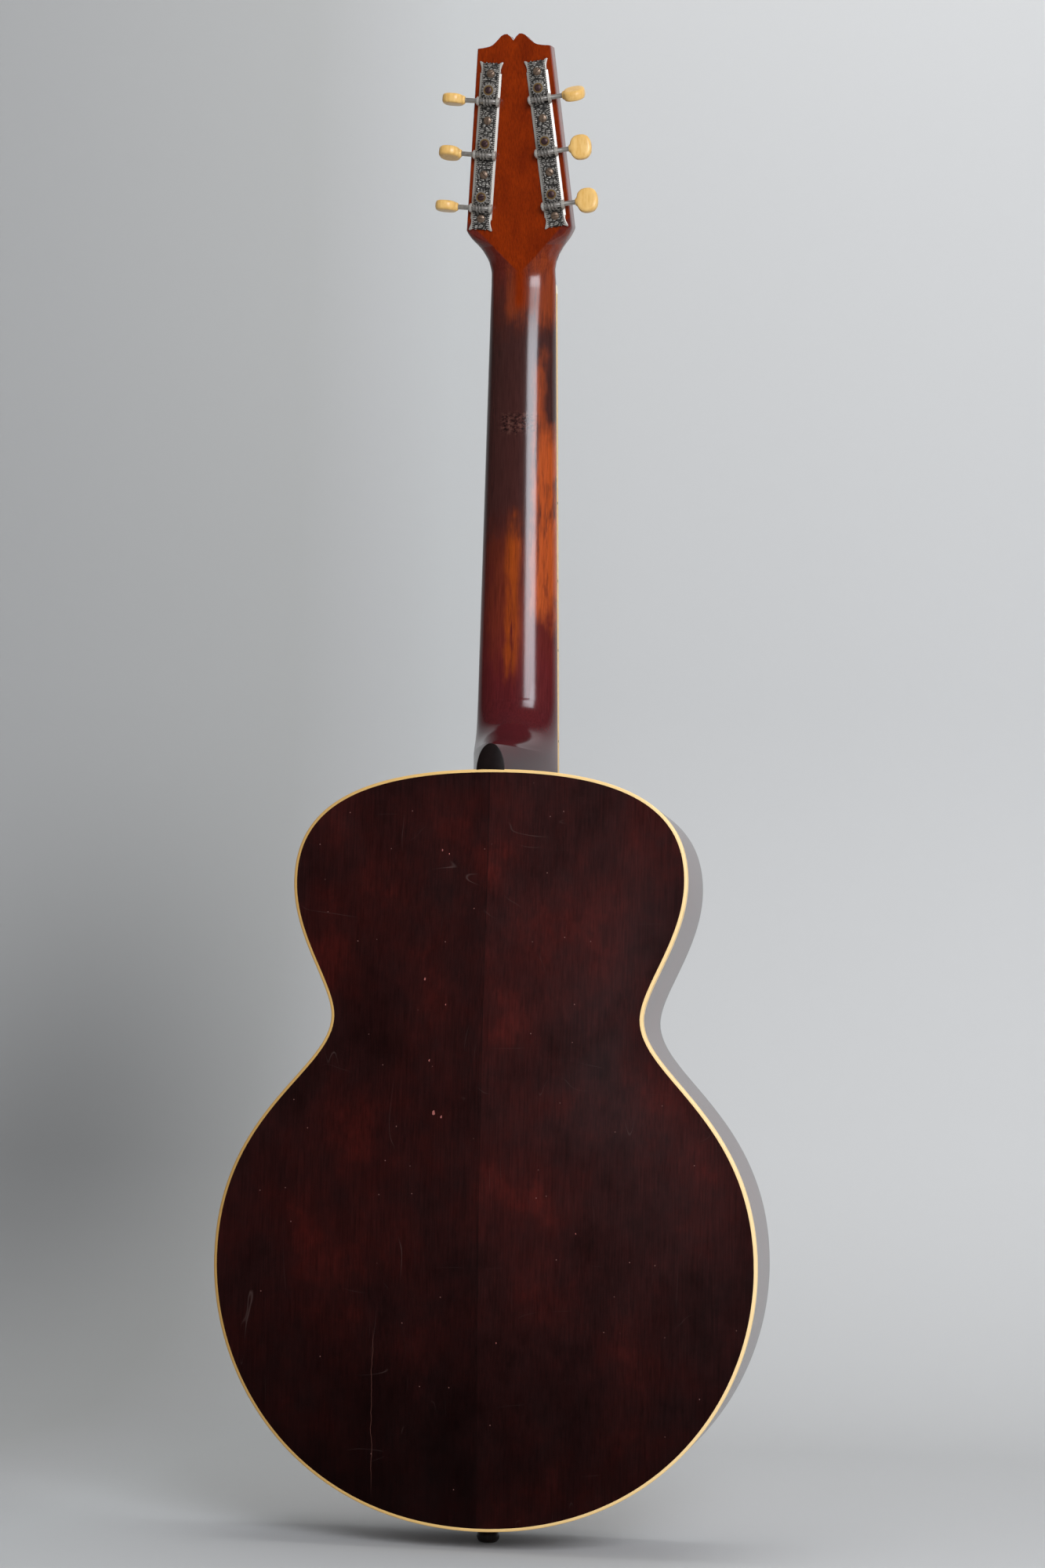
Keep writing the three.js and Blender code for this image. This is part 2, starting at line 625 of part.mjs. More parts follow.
function neckSection(distance, depth, roundness) {
  const half = boardHalfWidth(Math.max(distance, 0));
  return Array.from({ length: NECK_SIDES + 1 }, (_, i) => {
    const angle = Math.PI * i / NECK_SIDES;
    const across = Math.abs(Math.cos(angle)) ** (2 / roundness) * Math.sign(Math.cos(angle));
    const down = Math.abs(Math.sin(angle)) ** (2 / roundness);
    return new THREE.Vector3(half * across, -depth * down, -distance);
  });
}

function headOutline() {
  const flare = HEAD_FLARE_SHARES.map(([up, out]) => [HEAD_SHOULDER_HALF_WIDTH * out,
    HEAD_SHOULDER_HEIGHT * up]);
  const crest = HEAD_CREST_SHARES.map(([out, up]) => [HEAD_TOP_HALF_WIDTH * out,
    HEAD_TOP_HEIGHT + HEAD_CREST_HEIGHT * up]);
  const half = [...flare, ...crest];
  return [...half, ...half.slice(0, -1).reverse().map(([x, z]) => [-x, z])];
}

function tunerMatrix(side) {
  const lean = Math.atan2(PLATE_BOTTOM_OFFSET - PLATE_TOP_OFFSET, PLATE_TOP_HEIGHT - PLATE_BOTTOM_HEIGHT);
  const matrix = new THREE.Matrix4().makeRotationY(-side * lean);
  const middle = (PLATE_TOP_OFFSET + PLATE_BOTTOM_OFFSET) / 2;
  return matrix.setPosition(side * middle, 0, (PLATE_TOP_HEIGHT + PLATE_BOTTOM_HEIGHT) / 2);
}

const PLATE_LENGTH = Math.hypot(PLATE_BOTTOM_OFFSET - PLATE_TOP_OFFSET,
  PLATE_TOP_HEIGHT - PLATE_BOTTOM_HEIGHT);
const PLATE_INNER_Y = -HEAD_THICKNESS - GAP;
const PLATE_OUTER_Y = PLATE_INNER_Y - PLATE_THICKNESS;
const WORM_Y = PLATE_OUTER_Y - WORM_HEIGHT;
const GEAR_PLACES = [-1, 0, 1].map((step) => TUNER_RISE + step * TUNER_SPACING);

// Strings 1 to 3 are on the treble side, 4 to 6 on the bass side; 1 and 6 sit nearest the nut
const TUNERS = [1, 2, 3, 4, 5, 6].map((number) => {
  const side = number <= 3 ? -1 : 1;
  const step = side < 0 ? number - 1 : STRING_COUNT - number;
  return { number, side, gearZ: GEAR_PLACES[step] };
});

function postHoles(radius) {
  return TUNERS.map(({ side, gearZ }) => rod('y', radius, -HEAD_THICKNESS - OVERRUN,
    HEAD_VENEER_THICKNESS + OVERRUN, [0, gearZ], POST_SIDES).applyMatrix4(tunerMatrix(side)));
}

function trussPocket() {
  const half = TRUSS_POCKET_WIDTH / 2;
  const bottom = -TRUSS_ROD_DEPTH - TRUSS_NUT_WIDTH / 2 - GAP;
  return box([-half, bottom, HEAD_START + TRUSS_NUT_OFFSET],
    [half, OVERRUN, HEAD_START + TRUSS_NUT_OFFSET + TRUSS_POCKET_LENGTH]);
}

function trussChannel() {
  const half = TRUSS_ROD_DIAMETER / 2 + GAP;
  return box([-half, -TRUSS_ROD_DEPTH - half, -TRUSS_ROD_LENGTH - GAP],
    [half, OVERRUN, HEAD_START + TRUSS_NUT_OFFSET + OVERRUN]);
}

// The flat of the neck carries on over the body as a tongue that follows the arch
function tongue() {
  const end = fretPlace(FRET_COUNT);
  const bodyPoint = (distance, height) => new THREE.Vector3(0, height, -distance).applyMatrix4(NECK_FRAME);
  const upper = [bodyPoint(end, 0), bodyPoint(NECK_LENGTH - OVERRUN, 0)].map((p) => [p.z, p.y]);
  const [lowZ] = upper[0];
  const highZ = BODY_LENGTH - BINDING_THICKNESS;
  const under = Array.from({ length: TONGUE_STEPS + 1 }, (_, i) => {
    const z = highZ + (lowZ - highZ) * i / TONGUE_STEPS;
    return [z, topSurface(0, z) + GAP];
  });
  const outside = [upper[1][0], BODY_DEPTH / 2 + GAP];
  const shape = new THREE.Shape([...upper, outside, ...under].map(([z, y]) => new THREE.Vector2(z, y)));
  const geometry = new THREE.ExtrudeGeometry(shape, { depth: TONGUE_WIDTH, bevelEnabled: false });
  return geometry.rotateY(-Math.PI / 2).translate(TONGUE_WIDTH / 2, 0, 0);
}

function neckTenon() {
  const half = TENON_WIDTH / 2;
  return box([-half, RIM_BACK, BODY_LENGTH - RIM_THICKNESS - TENON_LENGTH - GAP],
    [half, RIM_FRONT - GAP, BODY_LENGTH + OVERRUN]);
}

// The shaft and heel, cut where the body, the heel cap and the head's front face are
function neckShaft() {
  const far = LOWER_BOUT_WIDTH;
  const shaft = skin(neckRings().map((ring) => neckSection(...ring))).applyMatrix4(NECK_FRAME);
  const body = bodyPrism(-GAP, -far, BODY_DEPTH / 2 + GAP);
  const soundboard = box([-far, -far, 0], [far, far, BODY_LENGTH - OVERRUN]);
  const cap = box([-far, -far, 0], [far, -BODY_DEPTH / 2 + HEEL_CAP_THICKNESS + GAP, NUT_HEIGHT_ON_BODY]);
  const overHead = box([-far, -GAP, -GAP], [far, far, HEAD_TOP_HEIGHT]).applyMatrix4(HEAD_FRAME);
  return cut(shaft, body, soundboard, cap, overHead);
}

function neck() {
  const head = slab(headOutline(), -HEAD_THICKNESS, 0).applyMatrix4(HEAD_FRAME);
  const channels = [trussChannel(), trussPocket()].map((tool) => tool.applyMatrix4(NECK_FRAME));
  const holes = postHoles(POST_HOLE_IN_HEAD).map((tool) => tool.applyMatrix4(HEAD_FRAME));
  return cut(join(neckShaft(), tongue(), head, neckTenon()), ...channels, ...holes);
}

function heelCap() {
  const half = HEEL_CAP_WIDTH / 2;
  const bottom = BODY_LENGTH + GAP;
  const points = Array.from({ length: HEEL_CAP_STEPS + 1 }, (_, i) => {
    const angle = Math.PI * i / HEEL_CAP_STEPS;
    return [half * Math.cos(angle), bottom + (HEEL_CAP_LENGTH - GAP) * Math.sin(angle)];
  });
  return slab(points, -BODY_DEPTH / 2, -BODY_DEPTH / 2 + HEEL_CAP_THICKNESS);
}

// Neck furniture, drawn in the neck's frame

const BOARD_END = fretPlace(FRET_COUNT) + FINGERBOARD_OVERHANG;
const BOARD_TOP = GAP + FINGERBOARD_THICKNESS;

function boardPoints(inset, end) {
  return [[-boardHalfWidth(0) + inset, 0], [-boardHalfWidth(end) + inset, -end],
    [boardHalfWidth(end) - inset, -end], [boardHalfWidth(0) - inset, 0]];
}

function fret(number) {
  const place = fretPlace(number);
  const half = boardHalfWidth(place) - BOARD_BINDING - 2 * GAP;
  const base = FRET_WIDTH / 2;
  const crown = FRET_CROWN / 2;
  const section = [[-base, BOARD_TOP - GAP], [base, BOARD_TOP - GAP], [base, BOARD_TOP],
    [crown, BOARD_TOP + FRET_HEIGHT], [-crown, BOARD_TOP + FRET_HEIGHT], [-base, BOARD_TOP]];
  const geometry = bar(section, -half, half);
  return geometry.rotateY(Math.PI / 2).translate(0, 0, -place);
}

function fingerboard() {
  const end = BOARD_END - BOARD_BINDING - GAP;
  const board = slab(boardPoints(BOARD_BINDING + GAP, end), GAP, BOARD_TOP);
  const frets = Array.from({ length: FRET_COUNT }, (_, i) => fret(i + 1));
  return join(board, ...frets);
}

function fingerboardBinding() {
  const inner = boardPoints(BOARD_BINDING, BOARD_END - BOARD_BINDING);
  return slab([...boardPoints(0, BOARD_END), ...inner.reverse()], GAP, BOARD_TOP);
}

function nut() {
  const half = NUT_WIDTH / 2;
  return box([-half, GAP, GAP], [half, NUT_TOP, GAP + NUT_LENGTH]);
}

function trussRod() {
  return rod('z', TRUSS_ROD_DIAMETER / 2, -TRUSS_ROD_LENGTH, TRUSS_ROD_END, [0, -TRUSS_ROD_DEPTH], ROD_SIDES);
}

function trussRodNut() {
  const from = HEAD_START + TRUSS_NUT_OFFSET + 2 * GAP;
  const at = [0, -TRUSS_ROD_DEPTH];
  const radius = TRUSS_NUT_WIDTH / 2;
  const blank = rod('z', radius, from, from + TRUSS_NUT_LENGTH, at, TRUSS_NUT_SIDES);
  const bore = rod('z', TRUSS_ROD_DIAMETER / 2 + GAP, from - OVERRUN, from + TRUSS_NUT_LENGTH + OVERRUN,
    at, ROD_SIDES);
  return cut(blank, bore);
}

// Head furniture, drawn in the head's frame

const VENEER_FRONT = GAP + HEAD_VENEER_THICKNESS;

function headVeneer() {
  const blank = slab(headOutline(), GAP, VENEER_FRONT);
  const half = TRUSS_POCKET_WIDTH / 2;
  const pocketEnd = TRUSS_NUT_OFFSET + TRUSS_POCKET_LENGTH;
  const window = box([-half, 0, TRUSS_NUT_OFFSET], [half, VENEER_FRONT + OVERRUN, pocketEnd]);
  return cut(blank, window, ...postHoles(POST_HOLE_IN_HEAD));
}

function trussRodCover() {
  const half = TRUSS_COVER_WIDTH / 2;
  const [out, up] = TRUSS_COVER_BEND_SHARES;
  const curve = new THREE.QuadraticBezierCurve(new THREE.Vector2(half, GAP),
    new THREE.Vector2(half * out, TRUSS_COVER_LENGTH * up), new THREE.Vector2(0, TRUSS_COVER_LENGTH));
  const right = curve.getPoints(TRUSS_COVER_STEPS).map((p) => [p.x, p.y]);
  const left = right.slice(0, -1).reverse().map(([x, z]) => [-x, z]);
  return slab([...right, ...left], VENEER_FRONT + GAP, VENEER_FRONT + GAP + TRUSS_COVER_THICKNESS);
}

// Tuners, drawn in the plate's frame: +X across the plate, +Z up along it

function plateEnd(end) {
  return PLATE_END_SHARES.map(([out, down]) => [out * PLATE_EAR_WIDTH / 2,
    end * (PLATE_LENGTH / 2 - down * PLATE_EAR_LENGTH / 2)]);
}

function platePoints() {
  const shoulder = PLATE_LENGTH / 2 - PLATE_EAR_LENGTH;
  const upper = plateEnd(1);
  const right = [[PLATE_WIDTH / 2, shoulder], ...upper];
  const quarter = [...right, ...right.slice(0, -1).reverse().map(([x, z]) => [-x, z])];
  return [...quarter, ...quarter.map(([x, z]) => [-x, -z])];
}

function tunerPlate(side) {
  const holes = GEAR_PLACES.map((z) => ringPath(POST_RADIUS + POST_CLEARANCE, 0, z, POST_SIDES));
  const base = slab(platePoints(), PLATE_OUTER_Y, PLATE_INNER_Y, holes);
  const edge = PLATE_WIDTH / 2;
  const lugs = GEAR_PLACES.flatMap((gearZ) => [-1, 1].map((end) => {
    const z = gearZ - WORM_CENTRE_DISTANCE;
    const x = [end * edge, end * (edge - LUG_THICKNESS)].sort((a, b) => a - b);
    return box([x[0], PLATE_OUTER_Y - LUG_HEIGHT, z - LUG_WIDTH / 2],
      [x[1], PLATE_OUTER_Y + GAP, z + LUG_WIDTH / 2]);
  }));
  const bores = GEAR_PLACES.map((gearZ) => rod('x', SHAFT_RADIUS + SHAFT_CLEARANCE, -edge - OVERRUN,
    edge + OVERRUN, [WORM_Y, gearZ - WORM_CENTRE_DISTANCE], SHAFT_SIDES));
  return cut(join(base, ...lugs), ...bores).applyMatrix4(tunerMatrix(side));
}

// A worm along X with its thread as one closed helical ridge on the core
function worm() {
  const half = PLATE_WIDTH / 2 - LUG_THICKNESS - GAP;
  const core = rod('x', WORM_ROOT_RADIUS, -half, half, [0, 0], SHAFT_SIDES);
  const inner = WORM_ROOT_RADIUS - THREAD_SINK;
  const rings = Array.from({ length: WORM_TURNS * WORM_STEPS + 1 }, (_, i) => {
    const angle = 2 * Math.PI * i / WORM_STEPS;
    const along = (i / WORM_STEPS - WORM_TURNS / 2) * GEAR_PITCH;
    const point = (radius, shift) => new THREE.Vector3(along + shift, radius * Math.cos(angle),
      radius * Math.sin(angle));
    return [point(inner, -THREAD_BASE / 2), point(WORM_OUTER_RADIUS, -THREAD_CREST / 2),
      point(WORM_OUTER_RADIUS, THREAD_CREST / 2), point(inner, THREAD_BASE / 2)];
  });
  return join(core, skin(rings));
}

function wormShaft(side) {
  const inner = PLATE_WIDTH / 2 + GAP;
  const outer = BUTTON_CENTRE - BUTTON_LENGTH / 2 - GAP;
  const ends = side > 0 ? [-inner, outer] : [-outer, inner];
  return join(worm(), rod('x', SHAFT_RADIUS, ...ends, [0, 0], SHAFT_SIDES));
}

function button(side) {
  const rings = BUTTON_RING_SHARES.map(([along, wide, thick]) => {
    const x = side * (BUTTON_CENTRE + along * BUTTON_LENGTH / 2);
    return Array.from({ length: BUTTON_SIDES }, (_, i) => {
      const angle = 2 * Math.PI * i / BUTTON_SIDES;
      return new THREE.Vector3(x, thick * BUTTON_THICKNESS / 2 * Math.sin(angle),
        wide * BUTTON_WIDTH / 2 * Math.cos(angle));
    });
  });
  return skin(rings);
}

// A gear about Z with helical teeth, on the post that carries the string
function gearPost() {
  const pitchRadius = GEAR_PITCH * GEAR_TEETH / (2 * Math.PI);
  const lead = GEAR_PITCH / (2 * Math.PI * (WORM_CENTRE_DISTANCE - pitchRadius));
  const twist = lead * GEAR_THICKNESS / pitchRadius;
  const ring = (share) => Array.from({ length: GEAR_TEETH }, (_, i) => {
    const middle = 2 * Math.PI * i / GEAR_TEETH - Math.PI / 2 + share * twist;
    const point = (radius, width, end) => {
      const angle = middle + end * width / (2 * radius);
      return new THREE.Vector3(radius * Math.cos(angle), radius * Math.sin(angle), share * GEAR_THICKNESS);
    };
    return [point(GEAR_ROOT_RADIUS, THREAD_BASE, -1), point(GEAR_OUTER_RADIUS, THREAD_CREST, -1),
      point(GEAR_OUTER_RADIUS, THREAD_CREST, 1), point(GEAR_ROOT_RADIUS, THREAD_BASE, 1)];
  }).flat();
  const hubs = [-0.5, 0.5].map((share) => new THREE.Vector3(0, 0, share * GEAR_THICKNESS));
  const wheel = skin([ring(-0.5), ring(0.5)], { start: hubs[0], end: hubs[1] });
  const top = WORM_Y - VENEER_FRONT - POST_REACH;
  const post = rod('z', POST_RADIUS, top, 0, [0, 0], POST_SIDES);
  const hole = rod('x', STRING_HOLE_RADIUS, -POST_RADIUS - OVERRUN, POST_RADIUS + OVERRUN,
    [0, top + STRING_HOLE_DROP], STRING_HOLE_SIDES);
  return cut(join(wheel, post), hole);
}

// Tailpiece, end pin and bridge, drawn in the body's frame

const HINGE_Y = BODY_DEPTH / 2 + GAP + HINGE_RADIUS;
const SADDLE_PLACE = SCALE_LENGTH + COMPENSATION;
const SADDLE_TOP_IN_NECK = BOARD_TOP + FRET_HEIGHT + STRING_ACTION_RISE;
const SADDLE_TOP = new THREE.Vector3(0, SADDLE_TOP_IN_NECK, -SADDLE_PLACE).applyMatrix4(NECK_FRAME);
const TAILPIECE_LEAN = Math.atan2(SADDLE_TOP.y - HINGE_Y, SADDLE_TOP.z - HINGE_INSET);

function endPin() {
  const wide = PIN_HEAD_DIAMETER / 2;
  const inner = -BRACKET_THICKNESS - 2 * GAP;
  const tip = PIN_SHAFT_LENGTH;
  const head = PIN_HEAD_SHARES.map(([out, down]) => [wide * out, -PIN_REACH * down]);
  const profile = [[0, -PIN_REACH], [PIN_FLAT_DIAMETER / 2, -PIN_REACH], ...head,
    [PIN_COLLAR_DIAMETER / 2, -PIN_REACH * PIN_COLLAR_SHARE], [PIN_COLLAR_DIAMETER / 2, inner],
    [PIN_SHAFT_DIAMETER / 2, inner], [PIN_SHAFT_DIAMETER / 2, 0], [PIN_SHAFT_TIP_DIAMETER / 2, tip], [0, tip]];
  const geometry = new THREE.LatheGeometry(profile.map(([x, y]) => new THREE.Vector2(x, y)), PIN_SIDES);
  return geometry.rotateX(Math.PI / 2);
}

function tailpieceBracket() {
  const half = BRACKET_WIDTH / 2;
  const outer = -BRACKET_THICKNESS - GAP;
  const over = BODY_DEPTH / 2 + GAP;
  const drop = box([-half, -BRACKET_DROP, outer], [half, over + BRACKET_THICKNESS, -GAP]);
  const leg = box([-half, over, outer], [half, over + BRACKET_THICKNESS, HINGE_INSET]);
  const barrel = rod('x', HINGE_RADIUS, -half, half, [HINGE_Y, HINGE_INSET], HINGE_SIDES);
  const hole = rod('z', PIN_HOLE_RADIUS, -OVERRUN * 2, OVERRUN, [0, 0], PIN_SIDES);
  const bore = rod('x', HINGE_PIN_RADIUS + GAP, -half - OVERRUN, half + OVERRUN, [HINGE_Y, HINGE_INSET],
    HINGE_SIDES);
  const room = HINGE_KNUCKLE_LENGTH / 2 + GAP;
  const notch = box([-room, 0, HINGE_INSET - HINGE_RADIUS - 2 * GAP], [room, BODY_DEPTH, BODY_DEPTH]);
  return cut(join(drop, leg, barrel), hole, bore, notch);
}

function tailpieceHingePin() {
  const half = BRACKET_WIDTH / 2;
  return rod('x', HINGE_PIN_RADIUS, -half, half, [HINGE_Y, HINGE_INSET], HINGE_SIDES);
}

// The trapeze, drawn lying along Z from its hinge and leaned up to the saddle's height
function tailpieceFrame() {
  const knuckle = HINGE_KNUCKLE_LENGTH / 2;
  const wide = TAILPIECE_WIDTH / 2;
  const barStart = TAILPIECE_LENGTH - TAILPIECE_BAR_WIDTH;
  const outer = [[knuckle, 0], [knuckle, TAILPIECE_NECK_LENGTH], [wide, barStart + OVERRUN],
    [-wide, barStart + OVERRUN], [-knuckle, TAILPIECE_NECK_LENGTH], [-knuckle, 0]];
  const corner = wide - TAILPIECE_ARM_WIDTH;
  const inner = [[0, TAILPIECE_HOLE_START], [corner, barStart], [-corner, barStart]];
  const arms = slab(outer, -TAILPIECE_THICKNESS / 2, TAILPIECE_THICKNESS / 2, [inner]);
  const thick = TAILPIECE_BAR_THICKNESS / 2;
  const crossbar = box([-wide, -thick, barStart], [wide, thick, TAILPIECE_LENGTH]);
  const barrel = rod('x', HINGE_RADIUS, -knuckle, knuckle, [0, 0], HINGE_SIDES);
  const bore = rod('x', HINGE_PIN_RADIUS + GAP, -knuckle - OVERRUN, knuckle + OVERRUN, [0, 0], HINGE_SIDES);
  return cut(join(arms, crossbar, barrel), bore);
}

const BRIDGE_Z = SADDLE_TOP.z;
const BRIDGE_BASE_TOP = SADDLE_TOP.y - SADDLE_RISE_ON_BASE;
const WHEEL_BOTTOM = BRIDGE_BASE_TOP + GAP;
const SADDLE_BOTTOM = WHEEL_BOTTOM + THUMBWHEEL_THICKNESS + GAP;

function postBore(x, fromY, toY) {
  return rod('y', BRIDGE_POST_RADIUS + GAP, fromY, toY, [x, BRIDGE_Z], ROD_SIDES);
}

function bridgeBase() {
  const half = BRIDGE_BASE_WIDTH / 2;
  const top = (x) => Math.max(...[-1, 1].map((end) => topSurface(x, BRIDGE_Z + end * BRIDGE_BASE_LENGTH / 2)));
  const relief = (x) => (Math.abs(x) < half - BRIDGE_FOOT_LENGTH ? BRIDGE_RELIEF : GAP);
  const places = Array.from({ length: BRIDGE_STEPS + 1 }, (_, i) => -half + 2 * half * i / BRIDGE_STEPS);
  const under = places.map((x) => [x, top(x) + relief(x)]);
  const crown = half - BRIDGE_FOOT_LENGTH / 2;
  const upper = [[half, top(half) + BRIDGE_RELIEF + GAP], [crown, BRIDGE_BASE_TOP], [-crown, BRIDGE_BASE_TOP],
    [-half, top(half) + BRIDGE_RELIEF + GAP]];
  const z = [BRIDGE_Z - BRIDGE_BASE_LENGTH / 2, BRIDGE_Z + BRIDGE_BASE_LENGTH / 2];
  const bottom = BRIDGE_BASE_TOP - BRIDGE_POST_SINK - GAP;
  const bores = [-1, 1].map((side) => postBore(side * BRIDGE_POST_OFFSET, bottom, BRIDGE_BASE_TOP + OVERRUN));
  return cut(bar([...under, ...upper], ...z), ...bores);
}

function bridgePost(side) {
  const x = side * BRIDGE_POST_OFFSET;
  return rod('y', BRIDGE_POST_RADIUS, BRIDGE_BASE_TOP - BRIDGE_POST_SINK, SADDLE_BOTTOM + BRIDGE_POST_RISE,
    [x, BRIDGE_Z], ROD_SIDES);
}

function thumbwheel(side) {
  const x = side * BRIDGE_POST_OFFSET;
  const top = WHEEL_BOTTOM + THUMBWHEEL_THICKNESS;
  const disc = rod('y', THUMBWHEEL_RADIUS, WHEEL_BOTTOM, top, [x, BRIDGE_Z], THUMBWHEEL_SIDES);
  return cut(disc, postBore(x, WHEEL_BOTTOM - OVERRUN, top + OVERRUN));
}

function bridgeSaddle() {
  const half = SADDLE_WIDTH / 2;
  const deep = SADDLE_LENGTH / 2;
  const top = SADDLE_TOP.y - GAP;
  const section = [[-deep, SADDLE_BOTTOM], [deep, SADDLE_BOTTOM], [deep, top - SADDLE_BEVEL],
    [SADDLE_BEVEL / 2, top], [-SADDLE_BEVEL / 2, top], [-deep, top - SADDLE_BEVEL]];
  const blank = bar(section, -half, half).rotateY(Math.PI / 2).translate(0, 0, BRIDGE_Z);
  const bores = [-1, 1].map((side) => postBore(side * BRIDGE_POST_OFFSET, SADDLE_BOTTOM - OVERRUN,
    SADDLE_BOTTOM + BRIDGE_POST_RISE + GAP));
  return cut(blank, ...bores);
}

// Strings, drawn in the body's frame from the tailpiece over the saddle and the nut to a post

class Route extends THREE.Curve {
  constructor(points) {
    super();
    this.points = points;
  }

  getTangentAt(share, target = new THREE.Vector3()) {
    const last = this.points.length - 1;
    const at = Math.round(share * last);
    const before = this.points[Math.max(at - 1, 0)];
    const after = this.points[Math.min(at + 1, last)];
    return target.copy(after).sub(before).normalize();
  }

  getSpacedPoints() {
    return this.points;
  }
}

function stringRoute({ number, side, gearZ }) {
  const radius = STRING_DIAMETERS[number] / 2;
  const share = (number - 1) / (STRING_COUNT - 1) * 2 - 1;
  const saddleX = share * STRING_SPREAD_AT_SADDLE / 2;
  const nutX = share * STRING_SPREAD_AT_NUT / 2;
  const tail = new THREE.Matrix4().makeRotationX(-TAILPIECE_LEAN).setPosition(0, HINGE_Y, HINGE_INSET);
  const rest = TAILPIECE_BAR_THICKNESS / 2 + GAP + radius;
  const start = new THREE.Vector3(saddleX, rest, TAILPIECE_LENGTH - TAILPIECE_BAR_WIDTH / 2).applyMatrix4(tail);
  const edge = new THREE.Vector3(saddleX, rest, TAILPIECE_LENGTH).applyMatrix4(tail);
  const crown = SADDLE_TOP.clone().setX(saddleX).add(new THREE.Vector3(0, radius, 0));
  const nutRest = NUT_TOP + GAP + radius;
  const nutPoints = [GAP, NUT_LENGTH + GAP].map((z) => new THREE.Vector3(nutX, nutRest, z)
    .applyMatrix4(NECK_FRAME));
  const around = POST_RADIUS + GAP + radius;
  const tunerFrame = HEAD_FRAME.clone().multiply(tunerMatrix(side));
  const wrapTop = VENEER_FRONT + POST_REACH - STRING_HOLE_DROP;
  const steps = Math.round(STRING_WRAP_STEPS * STRING_WRAP_TURNS);
  const wraps = Array.from({ length: steps + 1 }, (_, i) => {
    const turn = i / STRING_WRAP_STEPS;
    const angle = -side * 2 * Math.PI * turn;
    return new THREE.Vector3(-side * around * Math.cos(angle), wrapTop - turn * STRING_WRAP_PITCH,
      gearZ - side * around * Math.sin(angle)).applyMatrix4(tunerFrame);
  });
  return [start, edge, crown, ...nutPoints, ...wraps];
}

function guitarString(tuner) {
  const radius = STRING_DIAMETERS[tuner.number] / 2;
  const route = new Route(stringRoute(tuner));
  const section = new THREE.Shape(ringPath(radius, 0, 0, STRING_SIDES)
    .map(([x, y]) => new THREE.Vector2(x, y)));
  return new THREE.ExtrudeGeometry(section, { steps: route.points.length - 1, extrudePath: route,
    bevelEnabled: false });
}

// Pickguard, drawn in the neck's frame, and its bracket in the body's

const GUARD_INNER = boardHalfWidth(BOARD_END) + GAP;
const GUARD_TOP_END = GUARD_BOARD_OVERLAP - BOARD_END;
const GUARD_BOTTOM_END = GUARD_BRIDGE_SPACE - SADDLE_PLACE;

function pickguard() {
  const points = GUARD_CORNER_SHARES.map(([out, down]) => [-GUARD_INNER - out * GUARD_WIDTH,
    GUARD_TOP_END + down * (GUARD_BOTTOM_END - GUARD_TOP_END)]);
  return slab(points, GUARD_LIFT, GUARD_LIFT + GUARD_THICKNESS);
}

function pickguardBracket() {
  const along = GUARD_TOP_END + GUARD_BRACKET_SHARE * (GUARD_BOTTOM_END - GUARD_TOP_END);
  const middle = new THREE.Vector3(0, GUARD_LIFT, along).applyMatrix4(NECK_FRAME).z;
  const z = [middle - GUARD_BRACKET_WIDTH / 2, middle + GUARD_BRACKET_WIDTH / 2];
  const distance = (NUT_HEIGHT_ON_BODY - z[1]) / Math.cos(radians(NECK_ANGLE));
  const guardUnder = new THREE.Vector3(0, GUARD_LIFT, -distance).applyMatrix4(NECK_FRAME).y - GAP;
  const far = -GUARD_INNER - GUARD_WIDTH - GUARD_BRACKET_OUTREACH;
  const near = far + GUARD_BRACKET_FOOT;
  const thick = GUARD_BRACKET_THICKNESS;
  const foot = Math.max(...z.map((at) => topSurface(near, at))) + GAP;
  const tip = near + GUARD_BRACKET_ARM;
  const section = [[far, foot], [near, foot], [near, guardUnder - thick], [tip, guardUnder - thick],
    [tip, guardUnder], [near - thick, guardUnder], [near - thick, foot + thick], [far, foot + thick]];
  return bar(section, ...z);
}

// Assembly

function place(group, matrix) {
  group.applyMatrix4(matrix);
  return group;
}

const guitar = new THREE.Group();
const body = new THREE.Group();
body.position.z = PIN_REACH;
guitar.add(body);

